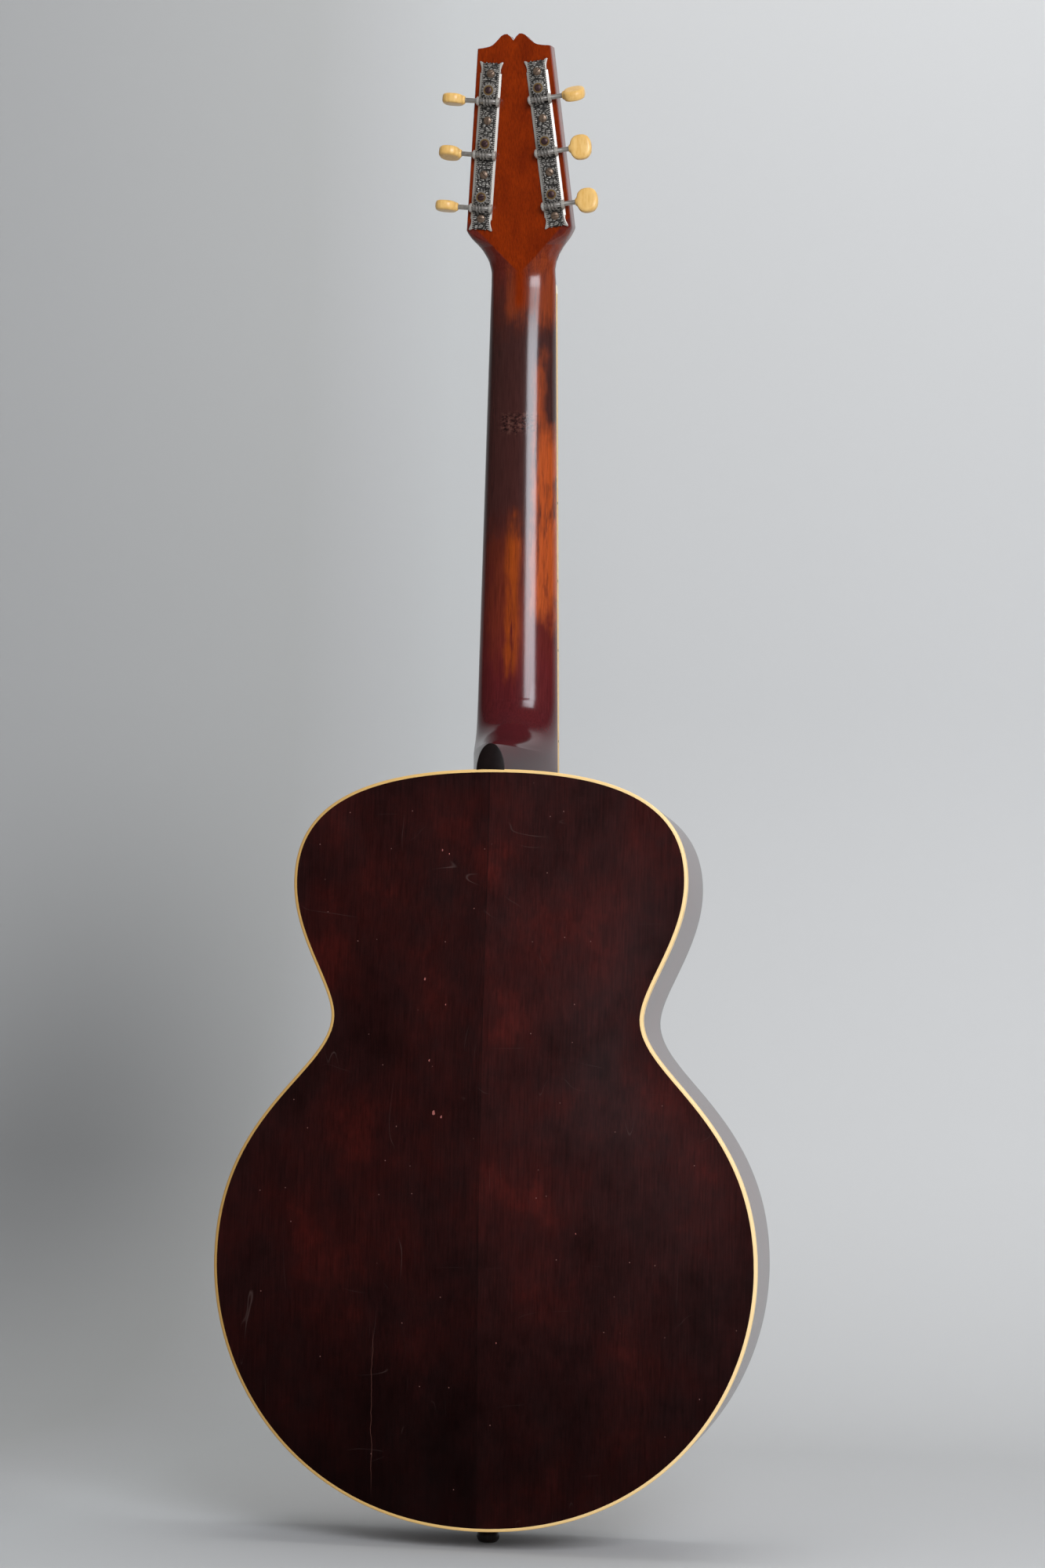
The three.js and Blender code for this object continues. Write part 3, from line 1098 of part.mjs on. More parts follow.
body.add(
  named('back_plate', archedPlate(-1, BACK_ARCH_HEIGHT), FINISHES.backLacquer),
  named('top_plate', topPlate(), FINISHES.topLacquer),
  named('bass_rim', rim(1), FINISHES.rimLacquer),
  named('treble_rim', rim(-1), FINISHES.rimLacquer),
  named('neck_block', neckBlock(), FINISHES.bareMahogany),
  named('tail_block', tailBlock(), FINISHES.bareMahogany),
  named('bass_back_lining', lining(1, -1), FINISHES.bareSpruce),
  named('treble_back_lining', lining(-1, -1), FINISHES.bareSpruce),
  named('bass_top_lining', lining(1, 1), FINISHES.bareSpruce),
  named('treble_top_lining', lining(-1, 1), FINISHES.bareSpruce),
  named('transverse_brace', transverseBrace(), FINISHES.bareSpruce),
  named('back_binding', binding(-1, BACK_BINDING_DEPTH), FINISHES.ivoroid),
  named('top_binding', binding(1, TOP_BINDING_DEPTH), FINISHES.ivoroid),
  named('neck', neck(), FINISHES.neckLacquer),
  named('heel_cap', heelCap(), FINISHES.veneer),
  named('end_pin', endPin(), FINISHES.ebony),
  named('tailpiece_bracket', tailpieceBracket(), FINISHES.nickel),
  named('tailpiece_hinge_pin', tailpieceHingePin(), FINISHES.steel),
  named('bridge_base', bridgeBase(), FINISHES.ebony),
  named('bridge_saddle', bridgeSaddle(), FINISHES.ebony),
  named('bass_bridge_post', bridgePost(1), FINISHES.brass),
  named('treble_bridge_post', bridgePost(-1), FINISHES.brass),
  named('bass_thumbwheel', thumbwheel(1), FINISHES.brass),
  named('treble_thumbwheel', thumbwheel(-1), FINISHES.brass),
  named('pickguard_bracket', pickguardBracket(), FINISHES.nickel),
);

const tailpiece = new THREE.Group();
tailpiece.position.set(0, HINGE_Y, HINGE_INSET);
tailpiece.rotation.x = -TAILPIECE_LEAN;
tailpiece.add(named('tailpiece_frame', tailpieceFrame(), FINISHES.nickel));
body.add(tailpiece);

const neckFurniture = place(new THREE.Group(), NECK_FRAME);
neckFurniture.add(
  named('fingerboard', fingerboard(), FINISHES.ebony),
  named('fingerboard_binding', fingerboardBinding(), FINISHES.ivoroid),
  named('nut', nut(), FINISHES.bone),
  named('truss_rod', trussRod(), FINISHES.steel),
  named('truss_rod_nut', trussRodNut(), FINISHES.brass),
  named('pickguard', pickguard(), FINISHES.pickguard),
);
body.add(neckFurniture);

const headFurniture = place(new THREE.Group(), HEAD_FRAME);
headFurniture.add(
  named('head_veneer', headVeneer(), FINISHES.veneer),
  named('truss_rod_cover', trussRodCover(), FINISHES.ebony),
  named('bass_tuner_plate', tunerPlate(1), FINISHES.agedNickel),
  named('treble_tuner_plate', tunerPlate(-1), FINISHES.agedNickel),
);
body.add(headFurniture);

TUNERS.forEach((tuner) => {
  const { number, side, gearZ } = tuner;
  const frame = place(new THREE.Group(), tunerMatrix(side));
  const shaft = new THREE.Group();
  shaft.position.set(0, WORM_Y, gearZ - WORM_CENTRE_DISTANCE);
  shaft.rotation.x = Math.PI / 2;
  shaft.add(named(`string_${number}_worm_shaft`, wormShaft(side), FINISHES.steel));
  const knob = named(`string_${number}_button`, button(side), FINISHES.button);
  knob.rotation.x = radians(BUTTON_TURNS[number]);
  shaft.add(knob);
  const gear = named(`string_${number}_gear_post`, gearPost(), FINISHES.nickel);
  gear.position.y = WORM_CENTRE_DISTANCE;
  shaft.add(gear);
  frame.add(shaft);
  headFurniture.add(frame);
  const wire = number < 3 ? FINISHES.steel : FINISHES.bronzeString;
  body.add(named(`string_${number}`, guitarString(tuner), wire));
});

export default guitar;
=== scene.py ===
"""Looks of an archtop acoustic guitar with a round sound hole, standing upright and seen from its back.

Lengths are in millimetres until a piece is finished, and the object stands in the frame's own axes:
+X to the bass side, +Y to the soundboard, +Z up the neck to the head.
"""

import json
import logging
import math
from dataclasses import dataclass, field
from enum import Enum
from typing import Iterable, Sequence

import bmesh
import bpy
from mathutils import Matrix, Vector
from mathutils.geometry import interpolate_bezier

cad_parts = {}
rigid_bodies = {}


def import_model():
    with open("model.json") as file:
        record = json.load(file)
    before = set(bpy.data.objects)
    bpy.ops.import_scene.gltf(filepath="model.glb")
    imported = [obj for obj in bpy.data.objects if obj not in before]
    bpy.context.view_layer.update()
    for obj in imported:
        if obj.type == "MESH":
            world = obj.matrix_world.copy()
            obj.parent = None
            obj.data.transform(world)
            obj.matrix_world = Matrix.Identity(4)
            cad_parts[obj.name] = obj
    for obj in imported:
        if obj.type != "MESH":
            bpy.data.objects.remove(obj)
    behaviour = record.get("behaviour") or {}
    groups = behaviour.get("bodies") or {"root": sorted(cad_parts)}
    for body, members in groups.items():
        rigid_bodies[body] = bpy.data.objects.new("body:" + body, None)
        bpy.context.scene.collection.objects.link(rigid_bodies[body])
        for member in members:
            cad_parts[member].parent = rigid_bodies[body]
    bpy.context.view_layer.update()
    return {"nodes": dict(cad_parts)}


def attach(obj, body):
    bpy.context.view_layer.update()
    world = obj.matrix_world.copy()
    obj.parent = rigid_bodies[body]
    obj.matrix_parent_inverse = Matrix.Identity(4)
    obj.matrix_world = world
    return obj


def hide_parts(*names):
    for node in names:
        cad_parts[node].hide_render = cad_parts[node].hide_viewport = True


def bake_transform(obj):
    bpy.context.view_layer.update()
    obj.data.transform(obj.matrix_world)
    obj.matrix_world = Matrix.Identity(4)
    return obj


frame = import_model()

LOG = logging.getLogger("guitar")
MM = 0.001

Point = tuple[float, float, float]
Pair = tuple[float, float]
Stop = tuple[float, str]
Source = bpy.types.Node | bpy.types.NodeSocket


class Side(Enum):
    """The two sides of the guitar, by the sign of X."""

    BASS = 1
    TREBLE = -1


class Face(Enum):
    """The two plates of the body, by the sign of Y."""

    FRONT = 1
    BACK = -1


# Geometry helpers


def turned(axis: str, degrees: float, at: Point = (0, 0, 0)) -> Matrix:
    """A frame at a point, turned about an axis."""
    return Matrix.Translation(at) @ Matrix.Rotation(math.radians(degrees), 4, axis)


def mix(a: float, b: float, share: float) -> float:
    """The value a share of the way from a to b."""
    return a + (b - a) * share


def ease(share: float) -> float:
    """A share from 0 to 1 that starts and ends gently."""
    held = min(max(share, 0.0), 1.0)
    return held * held * (3 - 2 * held)


def along(table: Sequence[Pair], place: float) -> float:
    """Reads a value from a table of (place, value) in rising order of place.

    Args:
        table: the places and their values.
        place: where to read.

    Returns:
        The value there, on straight lines between the table's entries.
    """
    if place <= table[0][0]:
        return table[0][1]
    for (a, low), (b, high) in zip(table, table[1:]):
        if place <= b:
            return mix(low, high, (place - a) / (b - a))
    return table[-1][1]


def new_loop(bm: bmesh.types.BMesh, points: Iterable[Point], closed: bool = True) -> list:
    """Draws a line of edges through points.

    Args:
        bm: the mesh to draw in.
        points: the places of the vertices.
        closed: whether the last point joins the first.

    Returns:
        The edges.
    """
    layer = bm.verts.layers.int.get("place") or bm.verts.layers.int.new("place")
    verts = [bm.verts.new(p) for p in points]
    for i, v in enumerate(verts):
        v[layer] = i
    pairs = list(zip(verts, verts[1:]))
    if closed:
        pairs.append((verts[-1], verts[0]))
    return [bm.edges.new(pair) for pair in pairs]


def loft(bm: bmesh.types.BMesh, rings: Sequence[Sequence[Point]], closed: bool = True,
         tube: bool = False, caps: bool = True) -> None:
    """Extrudes a line of edges through a row of sections.

    Args:
        bm: the mesh to draw in.
        rings: the sections, each with the same number of points.
        closed: whether each section is a closed loop.
        tube: whether the last section joins the first.
        caps: whether the two end sections are filled.
    """
    first = new_loop(bm, rings[0], closed)
    layer = bm.verts.layers.int["place"]
    edges = first
    for points in rings[1:]:
        made = bmesh.ops.extrude_edge_only(bm, edges=edges)["geom"]
        verts = {v for v in made if isinstance(v, bmesh.types.BMVert)}
        edges = [e for e in made if isinstance(e, bmesh.types.BMEdge) and set(e.verts) <= verts]
        for v in verts:
            v.co = points[v[layer]]
    if tube:
        bmesh.ops.bridge_loops(bm, edges=[*first, *edges])
    elif caps and closed:
        for ends in (first, edges):
            made = bmesh.ops.contextual_create(bm, geom=ends)["faces"]
            bmesh.ops.triangulate(bm, faces=made, ngon_method="BEAUTY")


def spin_profile(bm: bmesh.types.BMesh, profile: Sequence[Pair], steps: int,
                 matrix: Matrix | None = None) -> None:
    """Turns a profile about the local Z axis into a closed shape.

    Args:
        bm: the mesh to draw in.
        profile: (radius, height) of each corner, from one end of the axis to the other.
        steps: how many facets go round.
        matrix: where the shape goes.
    """
    edges = new_loop(bm, [(r, 0, h) for r, h in profile], closed=False)
    verts = {v for e in edges for v in e.verts}
    made = bmesh.ops.spin(bm, geom=[*verts, *edges], cent=(0, 0, 0), axis=(0, 0, 1),
                          angle=math.tau, steps=steps, use_merge=True)
    ends = [v for v in made["geom_last"] if isinstance(v, bmesh.types.BMVert)]
    grown = linked([*verts, *ends])
    bmesh.ops.remove_doubles(bm, verts=grown, dist=0.0005)
    if matrix is not None:
        bmesh.ops.transform(bm, matrix=matrix, verts=linked(grown))


def linked(verts: Iterable) -> list:
    """Every vertex that hangs together with the given ones."""
    found, todo = set(), [v for v in verts if v.is_valid]
    while todo:
        v = todo.pop()
        if v in found:
            continue
        found.add(v)
        todo.extend(e.other_vert(v) for e in v.link_edges)
    return list(found)


def block(bm: bmesh.types.BMesh, low: Point, high: Point, matrix: Matrix | None = None,
          rounding: float = 0.0, segments: int = 2) -> None:
    """Adds a box between two corners, with rounded edges if asked.

    Args:
        bm: the mesh to draw in.
        low: the lowest corner.
        high: the highest corner.
        matrix: where the box goes.
        rounding: the edges' bevel.
        segments: the bevel's facets.
    """
    size = [b - a for a, b in zip(low, high)]
    middle = [(a + b) / 2 for a, b in zip(low, high)]
    cube = bmesh.ops.create_cube(bm, size=1, matrix=Matrix.Translation(middle) @ Matrix.Diagonal((*size, 1)))
    verts = cube["verts"]
    if rounding > 0:
        edges = list({e for v in verts for e in v.link_edges})
        made = bmesh.ops.bevel(bm, geom=edges, offset=rounding, segments=segments, profile=0.5,
                               affect="EDGES", material=-1, clamp_overlap=True)
        verts = linked(made["verts"])
    if matrix is not None:
        bmesh.ops.transform(bm, matrix=matrix, verts=verts)


def slab(bm: bmesh.types.BMesh, outline: Sequence[Pair], low: float, high: float,
         matrix: Matrix | None = None, rounding: float = 0.0, segments: int = 2) -> None:
    """Extrudes an outline of (x, z) points from one y to another.

    Args:
        bm: the mesh to draw in.
        outline: the corners in turn.
        low: the y of the first face.
        high: the y of the second face.
        matrix: where the slab goes.
        rounding: bevel of the edges round both faces.
        segments: the bevel's facets.
    """
    edges = new_loop(bm, [(x, low, z) for x, z in outline])
    face = bmesh.ops.contextual_create(bm, geom=edges)["faces"]
    made = bmesh.ops.extrude_face_region(bm, geom=face)["geom"]
    verts = [v for v in made if isinstance(v, bmesh.types.BMVert)]
    bmesh.ops.translate(bm, vec=(0, high - low, 0), verts=verts)
    if rounding > 0:
        tops = [f for f in made if isinstance(f, bmesh.types.BMFace)]
        rims = {e for f in [*tops, *[f for f in face if f.is_valid]] for e in f.edges}
        bmesh.ops.bevel(bm, geom=list(rims), offset=rounding, segments=segments, profile=0.5,
                        affect="EDGES", material=-1, clamp_overlap=True)
        verts = linked([v for v in verts if v.is_valid] or bm.verts)
    if matrix is not None:
        bmesh.ops.transform(bm, matrix=matrix, verts=linked(verts))


def screw_head(bm: bmesh.types.BMesh, matrix: Matrix, radius: float, height: float, turn: float) -> None:
    """Adds a domed screw head with a slot, along the frame's +Z.

    Args:
        bm: the mesh to draw in.
        matrix: where the head's underside is.
        radius: the head's radius.
        height: the dome's height.
        turn: the slot's angle in degrees.
    """
    dome = [(radius * math.cos(t), height * (0.25 + 0.75 * math.sin(t))) for t in (0, 0.3, 0.6, 0.9, 1.2)]
    head = bmesh.new()
    spin_profile(head, [(0, 0), (radius, 0), *dome, (0, height)], 28)
    slot = 0.32
    reach = slot + 0.001
    for sign in (1, -1):
        bmesh.ops.bisect_plane(head, geom=[*head.verts, *head.edges, *head.faces],
                               plane_co=(0, sign * slot, 0), plane_no=(0, 1, 0), dist=0.0001)
    for v in head.verts:
        if abs(v.co.y) < slot - 0.01 and v.co.z > height * 0.45:
            v.co.z -= height * 0.5
    groove = [f for f in head.faces if all(abs(v.co.y) < reach for v in f.verts) and f.normal.z > 0.2]
    made = bmesh.ops.extrude_face_region(head, geom=groove)["geom"]
    deep = [v for v in made if isinstance(v, bmesh.types.BMVert)]
    bmesh.ops.translate(head, vec=(0, 0, -height * 0.45), verts=deep)
    bmesh.ops.delete(head, geom=[f for f in groove if f.is_valid], context="FACES_ONLY")
    bmesh.ops.transform(head, matrix=matrix @ turned("Z", turn), verts=head.verts)
    mesh = bpy.data.meshes.new("screw_head")
    head.to_mesh(mesh)
    head.free()
    bm.from_mesh(mesh)
    bpy.data.meshes.remove(mesh)


def directions(points: Sequence[Vector]) -> list[Vector]:
    """The way that a line runs at each of its points."""
    last = len(points) - 1
    return [(points[min(i + 1, last)] - points[max(i - 1, 0)]).normalized() for i in range(last + 1)]


def circle_points(radius: float, sides: int, at: Pair = (0, 0)) -> list[Pair]:
    """Points round a circle."""
    turns = (math.tau * i / sides for i in range(sides))
    return [(at[0] + radius * math.cos(t), at[1] + radius * math.sin(t)) for t in turns]


def to_metres(bm: bmesh.types.BMesh) -> None:
    """Brings a mesh from millimetres to metres and turns its faces outwards."""
    bmesh.ops.scale(bm, vec=(MM,) * 3, verts=bm.verts)
    bmesh.ops.recalc_face_normals(bm, faces=bm.faces)


def placed(bm: bmesh.types.BMesh, name: str) -> bpy.types.Object:
    """Puts a mesh, which is freed, in the scene as an object."""
    mesh = bpy.data.meshes.new(name)
    bm.to_mesh(mesh)
    bm.free()
    obj = bpy.data.objects.new(name, mesh)
    bpy.context.scene.collection.objects.link(obj)
    return obj


def finished(bm: bmesh.types.BMesh, name: str, finish: "Finish", nodes: Sequence[str] = (),
             body: str = "guitar", at: Matrix | None = None, sharp: float = 35.0) -> bpy.types.Object:
    """Makes a mesh piece of the object: in metres, shaded, dressed and riding on its body.

    Args:
        bm: the mesh in millimetres, which is freed.
        name: the piece's name.
        finish: what covers it.
        nodes: the nodes that the piece stands for.
        body: the body that carries it.
        at: the frame that the mesh is drawn in, if it isn't the object's own.
        sharp: edges that turn by more degrees than this stay sharp.

    Returns:
        The new object.
    """
    if at is not None:
        bmesh.ops.transform(bm, matrix=at, verts=bm.verts)
    to_metres(bm)
    limit = math.radians(sharp)
    for f in bm.faces:
        f.smooth = True
    for e in bm.edges:
        e.smooth = len(e.link_faces) == 2 and e.calc_face_angle() < limit
    obj = placed(bm, name)
    obj.data.materials.append(finish.material())
    if body:
        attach(obj, body)
    if nodes:
        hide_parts(*nodes)
    LOG.info("%s: %d faces", name, len(obj.data.polygons))
    return obj


def dress(node: str, finish: "Finish") -> None:
    """Gives a node of the frame a finish."""
    obj = frame["nodes"][node]
    obj.data.materials.clear()
    obj.data.materials.append(finish.material())


# Finishes


def linear(code: str) -> tuple[float, float, float, float]:
    """Turns an sRGB hex colour to the linear values that a shader takes.

    Args:
        code: six hex digits.

    Returns:
        Red, green, blue and an alpha of 1.
    """
    parts = [int(code[i:i + 2], 16) / 255 for i in (0, 2, 4)]
    return tuple(c / 12.92 if c <= 0.04045 else ((c + 0.055) / 1.055) ** 2.4 for c in parts) + (1.0,)


class Nodes:
    """The nodes of a material or a world."""

    def __init__(self, tree: bpy.types.NodeTree) -> None:
        """Clears the tree."""
        self.tree = tree
        tree.nodes.clear()

    def add(self, kind: str, inputs: dict | None = None, stops: Sequence[Stop] = (),
            **settings: object) -> bpy.types.Node:
        """Adds a node with its settings and links.

        Args:
            kind: the node's type, without ShaderNode.
            inputs: what each input holds, by its name or place: a value, the socket that feeds it, or a
                node whose first output feeds it.
            stops: a colour ramp's (place, hex colour) pairs.
            settings: the node's own options.

        Returns:
            The node.
        """
        node = self.tree.nodes.new("ShaderNode" + kind)
        for key, value in settings.items():
            setattr(node, key, value)
        for key, value in (inputs or {}).items():
            if isinstance(value, bpy.types.Node):
                value = value.outputs[0]
            if isinstance(value, bpy.types.NodeSocket):
                self.tree.links.new(value, node.inputs[key])
            else:
                node.inputs[key].default_value = value
        if stops:
            ramp = node.color_ramp
            while len(ramp.elements) < len(stops):
                ramp.elements.new(1.0)
            for element, (place, code) in zip(ramp.elements, stops):
                element.position = place
                element.color = linear(code)
        return node


class Surface(Nodes):
    """The nodes of one material: its principled shader, the place on the object in millimetres, and the
    patterns that several finishes share."""

    def __init__(self, tree: bpy.types.NodeTree, shading: dict) -> None:
        """Starts the material.

        Args:
            tree: the material's nodes.
            shading: what the shader's inputs hold.
        """
        super().__init__(tree)
        self.shader = self.add("BsdfPrincipled", shading)
        where = self.add("TexCoord").outputs["Object"]
        self.place = self.add("VectorMath", {0: where, 1: (1 / MM,) * 3}, operation="MULTIPLY")
        self.x, self.y, self.z = self.add("SeparateXYZ", {"Vector": self.place}).outputs

    def feed(self, name: str, source: Source) -> None:
        """Feeds an input of the shader."""
        socket = source.outputs[0] if isinstance(source, bpy.types.Node) else source
        self.tree.links.new(socket, self.shader.inputs[name])

    def noise(self, size: Point, detail: float = 3.0, roughness: float = 0.55) -> Source:
        """A noise whose lumps have a size in millimetres along each axis."""
        spot = self.add("VectorMath", {0: self.place, 1: tuple(1 / s for s in size)}, operation="MULTIPLY")
        return self.add("TexNoise", {"Vector": spot, "Scale": 1.0, "Detail": detail, "Roughness": roughness})

    def times(self, *factors: Source) -> Source:
        """The product of some values."""
        product = factors[0]
        for factor in factors[1:]:
            product = self.add("Math", {0: product, 1: factor}, operation="MULTIPLY")
        return product

    def between(self, value: Source, low: float, high: float, soft: float) -> Source:
        """A mask that is 1 where a value lies between two bounds, with soft edges.

        Args:
            value: what is compared.
            low: the lower bound.
            high: the upper bound.
            soft: how far each edge spreads to both sides of its bound.

        Returns:
            The mask.
        """
        return self.times(*[self.add("MapRange", {"Value": value, "From Min": start, "From Max": end},
                                     interpolation_type="SMOOTHSTEP")
                            for start, end in ((low - soft, low + soft), (high + soft, high - soft))])

    def over(self, under: Source, code: str, mask: Source, strength: float = 1.0) -> Source:
        """Lays a colour over another where a mask says.

        Args:
            under: the colour beneath.
            code: the hex colour on top.
            mask: where it lies, from 0 to 1.
            strength: how much of it shows where the mask is 1.

        Returns:
            The mixed colour.
        """
        part = self.add("Math", {0: mask, 1: strength}, operation="MULTIPLY")
        return self.add("Mix", {"A": under, "B": linear(code), "Factor": part},
                        data_type="RGBA").outputs["Result"]

    def grained(self, under: Source, pores: Source, low: float, high: float) -> Source:
        """A colour that fine pores darken to a share and lighten to another."""
        share = self.add("MapRange", {"Value": pores, "From Min": 0.3, "From Max": 0.7, "To Min": low,
                                      "To Max": high})
        return self.add("VectorMath", {0: under, 3: share}, operation="SCALE")

    def read(self, table: Sequence[Stop], value: Source) -> Source:
        """A colour read from a table of (value, hex colour)."""
        low, high = float(table[0][0]), float(table[-1][0])
        share = self.add("MapRange", {"Value": value, "From Min": low, "From Max": high})
        return self.add("ValToRGB", {"Fac": share}, [((v - low) / (high - low), code) for v, code in table])

    def bump(self, height: Source, depth: float) -> None:
        """Raises the surface by a height times a depth in millimetres."""
        self.feed("Normal", self.add("Bump", {"Height": height, "Strength": 1.0, "Distance": depth * MM}))


@dataclass(frozen=True)
class Finish:
    """A plain finish: one colour with a slight, slow change of tone, and an even gloss."""

    name: str
    colour: str = "808080"
    second: str = "707070"
    roughness: float = 0.4
    metallic: float = 0.0
    coat: float = 0.0
    specular: float = 0.5
    tone_size: float = 6.0
    bump_size: float = 0.0
    bump_height: float = 0.0

    def material(self) -> bpy.types.Material:
        """The Blender material, made once."""
        made = bpy.data.materials.get(self.name)
        if made is None:
            made = bpy.data.materials.new(self.name)
            made.use_nodes = True
            on = Surface(made.node_tree, {"Roughness": self.roughness, "Metallic": self.metallic,
                                          "Coat Weight": self.coat, "Coat Roughness": 0.06,
                                          "Specular IOR Level": self.specular})
            on.add("OutputMaterial", {"Surface": on.shader})
            on.feed("Base Color", self.paint(on))
        return made

    def paint(self, on: Surface) -> Source:
        """Works out the colour, and adds the relief and the changes of gloss that the finish has.

        Args:
            on: the surface.

        Returns:
            The colour.
        """
        if self.bump_height > 0:
            on.bump(on.noise((self.bump_size,) * 3), self.bump_height)
        tone = on.noise((self.tone_size,) * 3)
        return on.add("ValToRGB", {"Fac": tone}, [(0.3, self.colour), (0.7, self.second)])


@dataclass(frozen=True)
class CarvedBack(Finish):
    """Nitrocellulose lacquer over stained mahogany: almost black, with redder glows where the stain is
    thin, fine vertical pores, a centre seam with the darker plank beside it, a few hair-thin scratches
    and small pinkish chips down to the wood."""

    stain: tuple = ((0.3, "190807"), (0.46, "260e0d"), (0.58, "2f0f0d"), (0.74, "43130f"))
    chips: tuple = ((-29.5, 434.0, 0.5), (-25.0, 431.5, 0.35), (-38.0, 352.0, 0.6), (-24.0, 336.0, 0.4),
                    (-33.5, 301.0, 0.5), (-30.0, 268.5, 1.0), (-25.0, 266.0, 0.6), (-136.0, 276.0, 0.8),
                    (61.0, 196.0, 0.4), (12.0, 128.0, 0.4))
    scratch_width: float = 0.0035
    scratch_sizes: tuple = (((14, 60, 95), (31, 60, 47)), ((70, 60, 24), (43, 60, 26)))
    crack: Point = (-64.5, 40.0, 128.0)

    def paint(self, on: Surface) -> Source:
        """Colours the plate; see Finish.paint."""
        stained = on.add("ValToRGB", {"Fac": on.noise((54, 60, 66), 6.0, 0.62)}, self.stain)
        pores = on.noise((0.9, 0.9, 26), 2.0, 0.7)
        plank = on.add("MapRange", {"Value": on.x, "From Min": -0.6, "From Max": 0.4, "To Min": 0.7})
        # The plate gets darker towards the bottom, from z 190 mm down to z 45 mm
        darker_to_bottom = on.add("MapRange", {"Value": on.z, "From Min": 45.0, "From Max": 190.0, "To Min": 0.38})
        planks = on.add("VectorMath", {0: on.grained(stained, pores, 0.72, 1.28), 3: on.times(plank, darker_to_bottom)},
                        operation="SCALE")
        seamed = on.over(planks, "0d0504", on.between(on.x, -0.35, 0.1, 0.15), 0.6)
        dull = on.add("MapRange", {"Value": on.noise((26, 26, 40), 4.0, 0.7), "From Min": 0.3,
                                   "From Max": 0.75, "To Min": self.roughness * 0.8,
                                   "To Max": self.roughness * 1.35})
        on.feed("Roughness", dull)
        on.bump(pores, 0.012)
        return self.cracked(on, self.chipped(on, self.speckled(on, self.scratched(on, seamed))))

    def scratched(self, on: Surface, colour: Source) -> Source:
        """Adds hair-thin curved scratches, the level lines of two slow noises where a third lets them.
        They are drawn 0.25 mm wide, wider than real ones, so that they show."""
        for size, gap in self.scratch_sizes:
            off = on.add("Math", {0: on.noise(size, 1.0, 0.4), 1: 0.5}, operation="SUBTRACT")
            far = on.add("Math", {0: off}, operation="ABSOLUTE")
            line = on.add("MapRange", {"Value": far, "From Max": self.scratch_width, "To Min": 1.0,
                                       "To Max": 0.0})
            let = on.add("MapRange", {"Value": on.noise(gap, 2.0, 0.5), "From Min": 0.6, "From Max": 0.72})
            colour = on.over(colour, "8a746e", on.times(line, let), 0.15)
        return colour

    def speckled(self, on: Surface, colour: Source) -> Source:
        """Adds a few pinpoint specks, one in some of the cells of a coarse pattern."""
        face = on.add("CombineXYZ", {"X": on.x, "Y": on.z})
        cells = on.add("TexVoronoi", {"Vector": face, "Scale": 0.05}, voronoi_dimensions="2D")
        speck = on.add("MapRange", {"Value": cells, "From Min": 0.02, "From Max": 0.01})
        few = on.add("MapRange", {"Value": cells.outputs["Color"], "From Min": 0.68, "From Max": 0.76})
        return on.over(colour, "a87a72", on.times(speck, few), 0.45)

    def chipped(self, on: Surface, colour: Source) -> Source:
        """Adds the chips, with ragged edges."""
        ragged = on.add("TexNoise", {"Vector": on.place, "Scale": 0.8, "Detail": 2.0}).outputs["Color"]
        shift = on.add("VectorMath", {0: ragged, 1: (0.5,) * 3}, operation="SUBTRACT")
        moved = on.add("VectorMath", {0: on.place, 1: shift}, operation="ADD")
        flat = on.add("VectorMath", {0: moved, 1: (1.0, 0.0, 0.6)}, operation="MULTIPLY")
        for x, z, size in self.chips:
            near = on.add("VectorMath", {0: flat, 1: (x, 0.0, z * 0.6)}, operation="DISTANCE")
            chip = on.add("MapRange", {"Value": near.outputs["Value"], "From Min": size,
                                       "From Max": size * 0.7})
            colour = on.over(colour, "a0605a", chip, 0.8)
        return colour

    def cracked(self, on: Surface, colour: Source) -> Source:
        """Adds the wandering hairline crack."""
        x, low, high = self.crack
        bent = on.add("Math", {0: on.noise((60, 60, 26), 3.0, 0.6), 1: 5.0, 2: on.x},
                      operation="MULTIPLY_ADD")
        line = on.times(on.between(bent, x - 0.1, x + 0.1, 0.12), on.between(on.z, low, high, 12))
        return on.over(colour, "7a5046", line, 0.5)


@dataclass(frozen=True)
class SideLacquer(Finish):
    """The same lacquer on the bent rims: dark red mahogany whose grain runs round the body."""

    def paint(self, on: Surface) -> Source:
        """Colours the rims; see Finish.paint."""
        stained = on.add("ValToRGB", {"Fac": on.noise((40, 16, 40), 3.0, 0.6)},
                         [(0.3, self.colour), (0.72, self.second)])
        pores = on.noise((22, 0.8, 22), 2.0, 0.7)
        on.bump(pores, 0.015)
        return on.grained(stained, pores, 0.8, 1.2)


